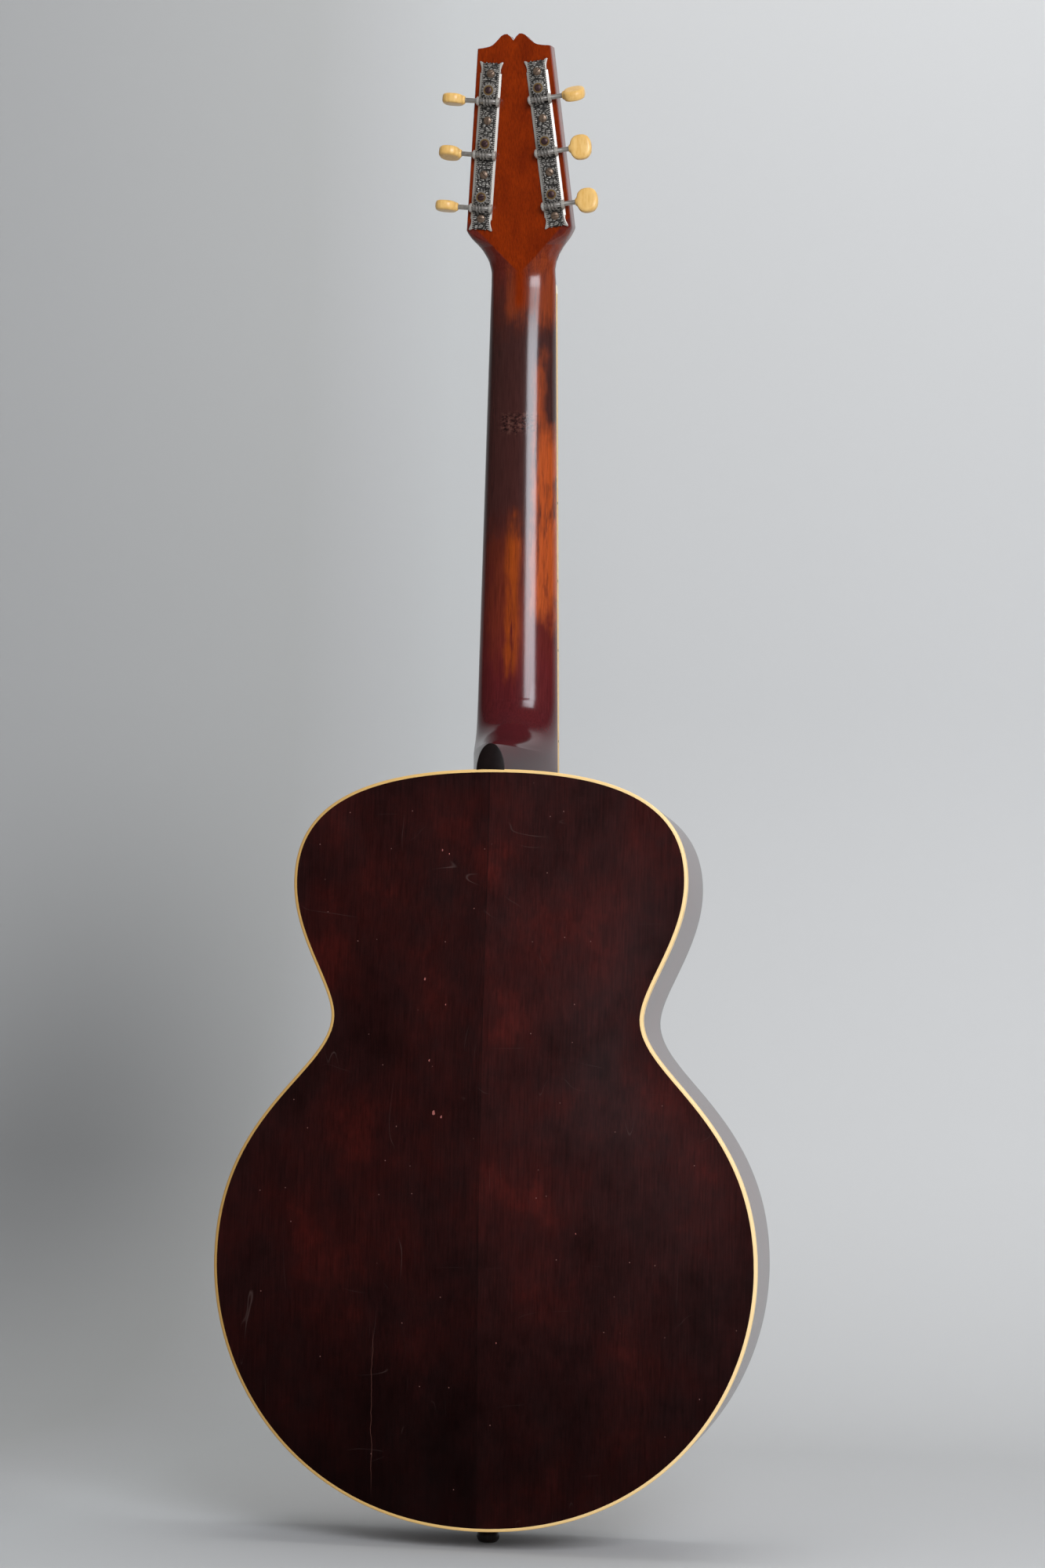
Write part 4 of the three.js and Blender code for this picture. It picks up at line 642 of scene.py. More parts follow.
@dataclass(frozen=True)
class CarvedTop(Finish):
    """Carved spruce under an amber lacquer that darkens to the edge, with straight annual rings 1.3 mm
    apart and cream and black rings let in round the sound hole."""

    ring_pitch: float = 1.3
    lobes: tuple = (((0, 190), (172, 215)), ((0, 395), (130, 120)))
    burst: tuple = ((0.25, "b5672a"), (0.52, "8f4316"), (0.74, "4c1a0d"), (0.95, "1f0c09"))
    hole: Pair = (0.0, 348.3)
    rosette: tuple = ((45.6, 46.6, "d9c08c"), (50.0, 50.9, "d9c08c"), (51.9, 54.6, "100c0a"),
                      (55.6, 56.5, "d9c08c"))

    def paint(self, on: Surface) -> Source:
        """Colours the plate; see Finish.paint."""
        across = on.add("Math", {0: on.noise((16, 60, 120), 2.0, 0.5), 1: 6.0, 2: on.x},
                        operation="MULTIPLY_ADD")
        phase = on.add("Math", {0: across, 1: math.tau / self.ring_pitch}, operation="MULTIPLY")
        wave = on.add("Math", {0: phase}, operation="SINE")
        rings = on.add("MapRange", {"Value": wave, "From Min": -0.2, "To Min": 1.0, "To Max": 0.74})
        lower, upper = (self.distance(on, centre, size) for centre, size in self.lobes)
        nearer = on.add("Math", {0: lower, 1: upper, 2: 0.25}, operation="SMOOTH_MIN")
        patchy = on.add("MapRange", {"Value": on.noise((40, 40, 60)), "To Min": -0.07, "To Max": 0.07})
        shade = on.add("Math", {0: nearer, 1: patchy}, operation="ADD")
        colour = on.add("VectorMath", {0: on.add("ValToRGB", {"Fac": shade}, self.burst), 3: rings},
                        operation="SCALE")
        around = self.distance(on, self.hole, (1, 1))
        for low, high, code in self.rosette:
            outside = on.add("Math", {0: around, 1: low}, operation="GREATER_THAN")
            inside = on.add("Math", {0: around, 1: high}, operation="LESS_THAN")
            colour = on.over(colour, code, on.times(outside, inside))
        on.bump(wave, 0.01)
        return colour

    def distance(self, on: Surface, centre: Pair, size: Pair) -> Source:
        """How far a place is from a centre on the top, in units of an ellipse's two half widths."""
        squares = []
        for part, middle, half in zip((on.x, on.z), centre, size):
            off = on.add("Math", {0: part, 1: middle}, operation="SUBTRACT")
            share = on.add("Math", {0: off, 1: half}, operation="DIVIDE")
            squares.append(on.add("Math", {0: share, 1: 2.0}, operation="POWER"))
        total = on.add("Math", {0: squares[0], 1: squares[1]}, operation="ADD")
        return on.add("Math", {0: total}, operation="SQRT")


@dataclass(frozen=True)
class NeckLacquer(Finish):
    """Lacquer over one-piece mahogany: mauve at the heel, burgundy and purple brown up the shaft with
    orange bands where the hand has worn it thin, and warm orange brown on the flat of the head."""

    heights: tuple = ((480, "2c181a"), (515, "45171b"), (560, "54191a"), (600, "541c15"), (645, "4b1c14"),
                      (668, "3b1e1b"), (782, "381f1c"), (808, "48211a"), (840, "5a2119"), (985, "4e1c16"))
    dart: float = 829.5
    head: str = "792602"
    head_dark: str = "661d02"
    bands: tuple = (((-18, 10), (570, 645), 16, 0.12, "9c441a"),
                    ((-5.5, 2.5), (560, 656), 14, 0.75, "94400f"),
                    ((11.5, 40), (598, 726), 14, 0.95, "9c441a"),
                    ((11.5, 17), (726, 770), 10, 0.8, "96401a"),
                    ((8, 40), (797, 850), 10, 0.6, "8a3a16"),
                    ((-9, 7), (800, 836), 9, 0.45, "8a3a16"))
    scar: tuple = ((-12, 13), (721, 733))

    def paint(self, on: Surface) -> Source:
        """Colours the neck; see Finish.paint."""
        off = on.add("MapRange", {"Value": on.noise((9, 30, 22), 3.0, 0.6), "To Min": -1.0})
        wavy = on.add("Math", {0: off, 1: 22.0, 2: on.z}, operation="MULTIPLY_ADD")
        across = on.add("Math", {0: off, 1: 4.0, 2: on.x}, operation="MULTIPLY_ADD")
        patches = on.add("MapRange", {"Value": on.noise((4, 30, 40), 4.0, 0.65), "From Min": 0.3,
                                      "From Max": 0.5})
        colour = on.read(self.heights, wavy)
        for sides, run, soft, strength, worn in self.bands:
            mask = on.times(on.between(across, *sides, 3.2), on.between(wavy, *run, soft), patches)
            colour = on.over(colour, worn, mask, strength)
        colour = self.flat_of_head(on, off, colour)
        flakes = on.noise((3.2, 3, 2.2), 4.0, 0.7)
        level = on.add("Math", {0: off, 1: 4.0, 2: on.z}, operation="MULTIPLY_ADD")
        wound = on.times(*[on.between(value, *run, 3) for value, run in zip((across, level), self.scar)])
        for start, end, code, strength in ((0.5, 0.62, "64433a", 0.7), (0.48, 0.4, "1c0f0d", 0.85)):
            part = on.add("MapRange", {"Value": flakes, "From Min": start, "From Max": end})
            colour = on.over(colour, code, on.times(wound, part), strength)
        pores = on.noise((0.7, 0.9, 16), 2.0, 0.75)
        relief = on.add("Math", {0: on.times(wound, flakes), 1: 8.0, 2: pores}, operation="MULTIPLY_ADD")
        on.bump(relief, 0.012)
        return on.grained(colour, pores, 0.72, 1.2)

    def flat_of_head(self, on: Surface, off: Source, under: Source) -> Source:
        """Lays the orange brown inside the dart, and its streak down the neck, over a colour.

        Args:
            on: the surface.
            off: a slow noise from -1 to 1.
            under: the colour beneath.

        Returns:
            The mixed colour.
        """
        aside = on.add("Math", {0: on.x}, operation="ABSOLUTE")
        up = on.add("Math", {0: on.z, 1: self.dart}, operation="SUBTRACT")
        inside = on.add("Math", {0: up, 1: aside}, operation="SUBTRACT")
        rough = on.add("Math", {0: off, 1: 1.2, 2: inside}, operation="MULTIPLY_ADD")
        dart = on.add("MapRange", {"Value": rough, "From Min": -0.8, "From Max": 0.8})
        slim = on.add("Math", {0: off, 1: 2.0, 2: aside}, operation="MULTIPLY_ADD")
        streak = on.times(on.between(slim, -9, 3.6, 3.0), on.between(on.z, 806, self.dart + 4, 5.0))
        both = on.add("Math", {0: dart, 1: streak}, operation="MAXIMUM")
        wood = on.add("ValToRGB", {"Fac": on.noise((14, 14, 40), 3.0, 0.6)},
                      [(0.35, self.head_dark), (0.65, self.head)]).outputs["Color"]
        return on.add("Mix", {"A": under, "B": wood, "Factor": both}, data_type="RGBA").outputs["Result"]


@dataclass(frozen=True)
class BlackVeneer(Finish):
    """Black fibre sheet under gloss lacquer. Its sawn edge, where the piece's own edge attribute is 1,
    has taken the mauve brown of the lacquer on the head's sides."""

    side: str = "5b3a36"

    def paint(self, on: Surface) -> Source:
        """Colours the veneer; see Finish.paint."""
        edge = on.add("Attribute", attribute_name="edge").outputs["Fac"]
        return on.over(super().paint(on), self.side, edge)


@dataclass(frozen=True)
class EngravedPlate(Finish):
    """Stamped nickel silver gone dark: leaves and petals between a milled border, bright where fingers
    and the light catch the ridges. The pattern follows the plate's own map, in millimetres."""

    half_width: float = 7.25
    border: float = 1.5
    milling: float = 1.3

    def paint(self, on: Surface) -> Source:
        """Colours the plate; see Finish.paint."""
        flat = on.add("UVMap", uv_map="plate").outputs["UV"]
        bend = on.add("TexNoise", {"Vector": flat, "Scale": 0.3, "Detail": 2.0}).outputs["Color"]
        pull = on.add("VectorMath", {0: bend, 3: 2.6}, operation="SCALE")
        bent = on.add("VectorMath", {0: flat, 1: pull}, operation="ADD")
        leaves = on.add("TexVoronoi", {"Vector": bent, "Scale": 0.36, "Randomness": 0.85},
                        feature="DISTANCE_TO_EDGE")
        veins = on.add("TexWave", {"Vector": flat, "Scale": 0.32, "Distortion": 6.0, "Detail": 2.0},
                       wave_type="RINGS").outputs["Fac"]
        ridge = on.add("MapRange", {"Value": leaves.outputs["Distance"], "From Min": 0.03, "From Max": 0.26})
        u, v, _ = on.add("SeparateXYZ", {"Vector": flat}).outputs
        side = on.add("Math", {0: u}, operation="ABSOLUTE")
        beads = on.add("Math", {0: v, 1: math.tau / self.milling}, operation="MULTIPLY")
        bead = on.add("Math", {0: beads}, operation="SINE")
        milled = on.add("MapRange", {"Value": bead, "From Min": -0.4, "From Max": 0.4})
        rail = self.half_width - self.border
        strip = on.between(side, rail - 1.0, rail - 0.05, 0.05)
        edged = on.add("Mix", {"A": on.times(ridge, veins), "B": milled, "Factor": strip})
        plain = on.add("MapRange", {"Value": side, "From Min": rail - 0.02, "From Max": rail + 0.02})
        height = on.add("Mix", {"A": edged, "B": 0.8, "Factor": plain})
        on.feed("Roughness", on.add("MapRange", {"Value": height, "To Min": 0.6, "To Max": 0.24}))
        on.bump(height, 0.22)
        return on.add("ValToRGB", {"Fac": height}, [(0.05, "282522"), (0.4, self.colour), (0.8, self.second)])


@dataclass(frozen=True)
class WoundWire(Finish):
    """Bronze wire wound on a steel core. The windings are drawn 0.8 mm apart, coarser than the real
    0.3 mm, so that they show."""

    pitch: float = 0.8

    def paint(self, on: Surface) -> Source:
        """Colours the windings; see Finish.paint."""
        phase = on.add("Math", {0: on.z, 1: math.tau / self.pitch}, operation="MULTIPLY")
        wave = on.add("Math", {0: phase}, operation="SINE")
        share = on.add("MapRange", {"Value": wave, "From Min": -1.0})
        on.bump(share, 0.08)
        # The darker colour between the windings is painted shade in the grooves
        return on.add("ValToRGB", {"Fac": share}, [(0.2, self.second), (0.8, self.colour)])


@dataclass(frozen=True)
class Figured(Finish):
    """Celluloid, bone, shell or plain wood: two colours in slow streaks, long ones where the piece has a
    grain."""

    streak: Point = (1.2, 1.2, 30.0)
    low: float = 0.35
    high: float = 0.65

    def paint(self, on: Surface) -> Source:
        """Colours the piece; see Finish.paint."""
        streaks = on.noise(self.streak, 3.0, 0.6)
        if self.bump_height > 0:
            on.bump(streaks, self.bump_height)
        return on.add("ValToRGB", {"Fac": streaks}, [(self.low, self.colour), (self.high, self.second)])


@dataclass(frozen=True)
class EdgeBinding(Finish):
    """Ivoroid strip round the back, bent hot and scraped flush, gone yellow. It is darker and browner
    towards the treble side and paler towards the bass side."""

    tones: tuple = ((-172, "a37f45"), (-115, "b58f52"), (-40, "d4ad69"), (40, "e3bf80"), (172, "efcf96"))
    spread: float = 14.0

    def paint(self, on: Surface) -> Source:
        """Colours the strip; see Finish.paint."""
        shift = on.add("MapRange", {"Value": on.noise((5, 5, 5), 3.0, 0.6), "To Min": -self.spread,
                                    "To Max": self.spread})
        return on.read(self.tones, on.add("Math", {0: on.x, 1: shift}, operation="ADD"))


BACK = CarvedBack("lacquered_carved_mahogany", roughness=0.36, specular=0.1)
RIM = SideLacquer("lacquered_bent_mahogany", "33100c", "521b13", roughness=0.22, coat=0.3)
TOP = CarvedTop("lacquered_carved_spruce", roughness=0.28, coat=0.4)
NECK = NeckLacquer("lacquered_neck_mahogany", roughness=0.17)

# Celluloid, cast in sheets and polished: ivoroid gone amber with soft streaks, a thin black line round
# the top, and clouded tortoiseshell with a wet gloss
IVOROID = Figured("ivoroid_celluloid", "dcb26a", "e8c37d", roughness=0.36, streak=(3, 3, 3))
BINDING = EdgeBinding("yellowed_ivoroid_binding", roughness=0.36)
BUTTON = Figured("moulded_ivoroid_button", "cea158", "dcb570", roughness=0.3, streak=(2, 2, 9))
BLACK_EDGE = Figured("black_celluloid_binding", "120d0b", "1d1411", roughness=0.22, coat=0.3,
                     streak=(3, 3, 3))
TORTOISE = Figured("tortoise_celluloid", "1a0a07", "5a2412", roughness=0.14, coat=0.5,
                   streak=(9, 9, 14), low=0.42, high=0.62)

# Oiled ebony and rosewood: near black and chocolate brown, a low sheen, pores drawn along the grain
EBONY = Figured("oiled_ebony", "120e0c", "241a14", roughness=0.42, streak=(0.9, 0.9, 26), bump_height=0.02)
ROSEWOOD = Figured("oiled_rosewood", "2a140d", "4a2616", roughness=0.45, streak=(0.9, 0.9, 26),
                   bump_height=0.03)
CROSS_ROSEWOOD = Figured("oiled_rosewood_bridge", "26120c", "45220f", roughness=0.4,
                         streak=(26, 0.9, 0.9), bump_height=0.03)

# Black veneer, ebony and plastic under a lacquer: even black with a soft highlight
VENEER = BlackVeneer("lacquered_black_veneer", "0b0909", "141010", roughness=0.16, coat=0.6, tone_size=20)
CAP = Finish("lacquered_heel_cap_ebony", "100b0a", "181110", roughness=0.34, specular=0.1, tone_size=5)
INLAY = Finish("pressed_black_dot", "100c0b", "1c1614", roughness=0.4, tone_size=2)
COVER = Finish("moulded_black_cover", "0d0b0b", "171312", roughness=0.22, coat=0.4, tone_size=12)

# Bone and shell, polished by hand: warm white with faint bands, and a cool shifting white
BONE = Figured("polished_bone", "e4d8bb", "efe6d0", roughness=0.35, streak=(8, 1, 1))
PEARL = Figured("mother_of_pearl", "c9cfc6", "efe9e2", roughness=0.2, streak=(1.6, 1.6, 2.4))

# Nickel: bright plate on the front's fittings, and a grey bloom where the tuners have tarnished
NICKEL = Finish("plated_nickel", "b7b2a6", "cfcabd", roughness=0.22, metallic=1.0, tone_size=9,
                bump_size=2.0, bump_height=0.01)
WORN_NICKEL = Finish("tarnished_nickel", "8f8a84", "b4afa7", roughness=0.28, metallic=0.6, tone_size=2.5,
                     bump_size=0.8, bump_height=0.03)
PLATE = EngravedPlate("engraved_nickel_silver", "7a766f", "c4bfb6", roughness=0.42, metallic=0.55)
FRET_WIRE = Finish("polished_nickel_silver_wire", "b9b3a2", "a49d8c", roughness=0.25, metallic=1.0)

# Steel: brown with rust on the plates' screws, purplish on the gears' screws, and grey drawn wire
SCREW = Finish("rusted_screw_steel", "6e594a", "907d6b", roughness=0.36, metallic=0.6, tone_size=1.2,
               bump_size=0.6, bump_height=0.03)
GEAR_SCREW = Finish("oxidised_screw_steel", "3a272b", "56413f", roughness=0.42, metallic=0.6,
                    tone_size=1.2, bump_size=0.6, bump_height=0.02)
STEEL = Finish("drawn_steel", "77767a", "8f8e90", roughness=0.34, metallic=1.0, tone_size=2)
PLAIN_WIRE = Finish("plain_steel_wire", "9a9a9c", "b3b3b4", roughness=0.25, metallic=1.0)

# Brass and bronze: yellow where it is turned, dull where the gears wear, coppery on the strings
BRASS = Finish("lathe_turned_brass", "a8823f", "8a6a36", roughness=0.33, metallic=1.0, tone_size=3,
               bump_size=0.7, bump_height=0.01)
AGED_BRASS = Finish("worn_gear_brass", "a98a5a", "836842", roughness=0.3, metallic=0.7, tone_size=1.5,
                    bump_size=0.6, bump_height=0.02)
BRONZE = WoundWire("bronze_wound_wire", "b98a50", "6d4a26", roughness=0.34, metallic=1.0)

# Bare wood inside the body: matt, pale spruce and redder mahogany with raised grain
SPRUCE = Figured("bare_spruce", "c4a272", "d6b988", roughness=0.7, streak=(1.3, 1.3, 40), bump_height=0.03)
MAHOGANY = Figured("bare_mahogany", "7d4f33", "95613f", roughness=0.7, streak=(1.1, 1.1, 30),
                   bump_height=0.03)


# The sizes that several pieces share, and the frames that the body, neck and head are drawn in

PIN_REACH = 12.3
BODY_LENGTH = 473.6
BODY_DEPTH = 84.0
SCALE_LENGTH = 628.65
NECK_ANGLE = 1.35
NECK_LIFT = 7.38
NECK_FREE = SCALE_LENGTH * 0.531933
NUT_HEIGHT = BODY_LENGTH + NECK_FREE
NECK_LENGTH = NECK_FREE / math.cos(math.radians(NECK_ANGLE))
HEAD_TILT = 13.3
HEAD_START = 5.6
HEAD_THICKNESS = 13.5
VENEER_FRONT = 1.8
NUT_WIDTH = 44.6
BOARD_TAPER = 0.0336
LAST_FRET = 19
BOARD_OVERHANG = 6.0
STRING_COMPENSATION = 2.0
PLATE_INSET = 2.04
TOP_ARCH = 11.0
BACK_ARCH = 10.0

BODY_FRAME = Matrix.Translation((0, 0, PIN_REACH))
NECK_FRAME = BODY_FRAME @ turned("X", NECK_ANGLE, (
    0, BODY_DEPTH / 2 + NECK_LIFT - NECK_FREE * math.tan(math.radians(NECK_ANGLE)), NUT_HEIGHT))
HEAD_FRAME = NECK_FRAME @ turned("X", HEAD_TILT, (0, 0, HEAD_START))


def board_half_width(distance: float) -> float:
    """Half the fingerboard's width at a distance from the nut."""
    return (NUT_WIDTH + BOARD_TAPER * distance) / 2


def fret_place(number: float) -> float:
    """A fret's distance from the nut."""
    return SCALE_LENGTH * (1 - 2 ** (-number / 12))


# Body


@dataclass
class BodyOutline:
    """The outline of the body, as four Bezier curves a side."""

    stations: tuple = ((0.0, 0.0), (172.5, 163.0), (99.9, 316.0), (126.8, 402.0), (0.0, 473.6))
    steps: tuple = (44, 34, 24, 34)
    half: list = field(default_factory=list)

    def __post_init__(self) -> None:
        """Draws the half outline from the tail to the neck."""
        (x0, z0), (x1, z1), (x2, z2), (x3, z3), (x4, z4) = self.stations
        curves = (((x0, z0), (0.639 * x1, z0), (x1, z1 - 0.5 * (z1 - z0)), (x1, z1)),
                  ((x1, z1), (x1, z1 + 0.608 * (z2 - z1)), (x2, z2 - 0.226 * (z2 - z1)), (x2, z2)),
                  ((x2, z2), (x2, z2 + 0.227 * (z3 - z2)), (x3, z3 - 0.419 * (z3 - z2)), (x3, z3)),
                  ((x3, z3), (x3, z3 + 0.468 * (z4 - z3)), (0.858 * x3, z4), (x4, z4)))
        for steps, curve in zip(self.steps, curves):
            knots = [Vector(p) for p in curve]
            points = interpolate_bezier(*knots, steps + 1)
            self.half.extend(tuple(p) for p in points[:-1])
        self.half.append((x4, z4))

    def inset(self, distance: float) -> list[Pair]:
        """The whole outline, drawn in by a distance, bass side first."""
        whole = [*self.half, *[(-x, z) for x, z in self.half[-2:0:-1]]]
        count = len(whole)
        points = []
        for i, (x, z) in enumerate(whole):
            ax, az = whole[i - 1]
            bx, bz = whole[(i + 1) % count]
            size = math.hypot(bx - ax, bz - az)
            points.append((x - (bz - az) / size * distance, z + (bx - ax) / size * distance))
        return points

    def inset_half(self, distance: float) -> list[Pair]:
        """The bass half of the outline, drawn in by a distance."""
        return self.inset(distance)[:len(self.half)]

    def top_edge(self, x: float) -> float:
        """The outline's height near the neck, at a distance from the middle line."""
        rising = sorted((px, pz) for px, pz in self.half[-30:])
        return along(rising, abs(x))


@dataclass
class Arch:
    """The arch of a plate: its height falls from a centre to the plate's edge. The contours follow the
    outline at the edge and turn rounder towards the centre."""

    outline: list
    height: float
    centre: float = 235.0
    power: float = 1.3
    edge_thickness: float = 4.0
    centre_thickness: float = 6.0
    reaches: list = field(default_factory=list)
    smooth: list = field(default_factory=list)

    def __post_init__(self) -> None:
        """Measures how far the edge lies from the centre in each direction."""
        polar = sorted((math.atan2(z - self.centre, x) % math.tau, math.hypot(x, z - self.centre))
                       for x, z in self.outline)
        wrapped = [(polar[-1][0] - math.tau, polar[-1][1]), *polar, (polar[0][0] + math.tau, polar[0][1])]
        self.reaches = [along(wrapped, math.tau * i / 360) for i in range(360)]
        spread = 38
        for i in range(360):
            window = [self.reaches[(i + k) % 360] * (1 + math.cos(math.pi * k / spread))
                      for k in range(-spread, spread + 1)]
            weight = sum(1 + math.cos(math.pi * k / spread) for k in range(-spread, spread + 1))
            self.smooth.append(sum(window) / weight)

    def read(self, table: list, angle: float) -> float:
        """A value from a table of 360 directions."""
        place = (angle % math.tau) / math.tau * 360
        low = int(place) % 360
        return mix(table[low], table[(low + 1) % 360], place - int(place))

    def reach(self, angle: float, share: float) -> float:
        """How far the contour of a share lies from the centre in a direction."""
        return share * mix(self.read(self.smooth, angle), self.read(self.reaches, angle), share ** 1.5)

    def rise(self, share: float) -> float:
        """The height over the edge at a share of the way from the centre."""
        return self.height * (1 + math.cos(math.pi * min(share, 1.0) ** self.power)) / 2

    def rise_at(self, x: float, z: float) -> float:
        """The height over the edge at a place on the plate."""
        angle = math.atan2(z - self.centre, x)
        wanted = math.hypot(x, z - self.centre)
        low, high = 0.0, 1.0
        for _ in range(24):
            middle = (low + high) / 2
            if self.reach(angle, middle) < wanted:
                low = middle
            else:
                high = middle
        return self.rise((low + high) / 2)

    def thickness(self, share: float) -> float:
        """The plate's thickness at a share of the way from the centre."""
        return mix(self.centre_thickness, self.edge_thickness, share)


@dataclass
class Body:
    """The hollow body: carved plates, bent rims and bindings."""

    outline: BodyOutline
    top: Arch
    back: Arch
    rim_thickness: float = 2.4
    rim_back: float = -35.98
    rim_front: float = 37.38
    shares: tuple = (1.0, 0.99, 0.975, 0.955, 0.93, 0.9, 0.865, 0.825, 0.78, 0.73, 0.68, 0.62, 0.56, 0.5,
                     0.44, 0.38, 0.32, 0.26, 0.2, 0.14, 0.09, 0.05, 0.02)
    hole_radius: float = 44.0
    hole_height: float = 336.0
    back_binding_depth: float = 6.0
    top_binding_depth: float = 4.6
    binding_width: float = 2.0
    binding_rounding: float = 0.9
    tail_seam: float = 0.06
    tenon_half: float = 7.0

    def build(self) -> None:
        """Makes every piece of the body's shell."""
        self.plate(Face.BACK, self.back)
        self.plate(Face.FRONT, self.top)
        for side in Side:
            self.rim(side)
        self.binding("back_binding", Face.BACK, self.back_binding_depth)
        self.binding("top_binding", Face.FRONT, self.top_binding_depth)

    def surface(self, x: float, z: float) -> float:
        """The y of the soundboard's outer face at a place on the body."""
        return BODY_DEPTH / 2 + self.top.rise_at(x, z)

    def ring(self, arch: Arch, face: Face, share: float, inner: bool) -> list[Point]:
        """One contour of a plate's outer or inner face."""
        level = BODY_DEPTH / 2 + arch.rise(share) - (arch.thickness(share) if inner else 0)
        points = []
        for x, z in arch.outline:
            angle = math.atan2(z - arch.centre, x)
            reach = arch.reach(angle, share) if share < 1 else math.hypot(x, z - arch.centre)
            points.append((reach * math.cos(angle), face.value * level,
                           arch.centre + reach * math.sin(angle)))
        return points

    def plate(self, face: Face, arch: Arch) -> None:
        """Makes a carved plate, the front one with its sound hole."""
        bm = bmesh.new()
        outer = [self.ring(arch, face, share, False) for share in reversed(self.shares)]
        inner = [self.ring(arch, face, share, True) for share in self.shares]
        poles = [[(0, face.value * (BODY_DEPTH / 2 + arch.height - drop), arch.centre)] * len(arch.outline)
                 for drop in (0, arch.centre_thickness)]
        loft(bm, [poles[0], *outer, *inner, poles[1]], caps=False)
        bmesh.ops.remove_doubles(bm, verts=bm.verts, dist=0.01)
        if face is Face.BACK:
            finished(bm, "carved_back", BACK, ["back_plate"], at=BODY_FRAME)
        else:
            self.pierce(finished(bm, "carved_top", TOP, ["top_plate"], at=BODY_FRAME))

    def pierce(self, piece: bpy.types.Object) -> None:
        """Cuts the sound hole through the finished top."""
        bm = bmesh.new()
        slab(bm, circle_points(self.hole_radius, 96, (0, self.hole_height)), 10, 80, BODY_FRAME)
        to_metres(bm)
        cutter = placed(bm, "hole_cutter")
        hole = piece.modifiers.new("sound_hole", "BOOLEAN")
        hole.operation, hole.object, hole.solver = "DIFFERENCE", cutter, "EXACT"
        shape = bpy.data.meshes.new_from_object(piece.evaluated_get(bpy.context.evaluated_depsgraph_get()))
        piece.modifiers.clear()
        piece.data = shape
        bpy.data.objects.remove(cutter)

    def rim(self, side: Side) -> None:
        """Makes one bent rim, from the tail seam to the neck's tenon."""
        outer = [p for p in self.outline.half if p[0] > 0.1]
        inner = [p for p, q in zip(self.outline.inset_half(self.rim_thickness), self.outline.half)
                 if q[0] > 0.1]
        sections = [[(side.value * ox, self.rim_back, oz), (side.value * ox, self.rim_front, oz),
                     (side.value * ix, self.rim_front, iz), (side.value * ix, self.rim_back, iz)]
                    for (ox, oz), (ix, iz) in zip(outer, inner)
                    if oz < BODY_LENGTH / 2 or ox > self.tenon_half]
        start = [(side.value * self.tail_seam, y, z) for _, y, z in sections[0]]
        bm = bmesh.new()
        loft(bm, [start, *sections])
        name = f"{side.name.lower()}_rim"
        finished(bm, name + "_side", RIM, [name], at=BODY_FRAME)

    def binding(self, node: str, face: Face, depth: float) -> None:
        """Makes the binding round one edge of the body, with a rounded corner."""
        flat = face.value * BODY_DEPTH / 2
        deep = flat - face.value * depth
        radius, width = self.binding_rounding, self.binding_width
        arc = [(radius * (1 - math.cos(t)), flat - face.value * radius * (1 - math.sin(t)))
               for t in (0.0, 0.4, 0.8, 1.2, math.pi / 2)]
        section = [(0.0, deep), *arc, (width, flat), (width, deep)]
        rings = [[(x, y, z) for x, z in self.outline.inset(inset)] for inset, y in section]
        bm = bmesh.new()
        loft(bm, rings, tube=True)
        finish = BINDING if face is Face.BACK else BLACK_EDGE
        finished(bm, node + "_trim", finish, [node], at=BODY_FRAME)


# Neck and head


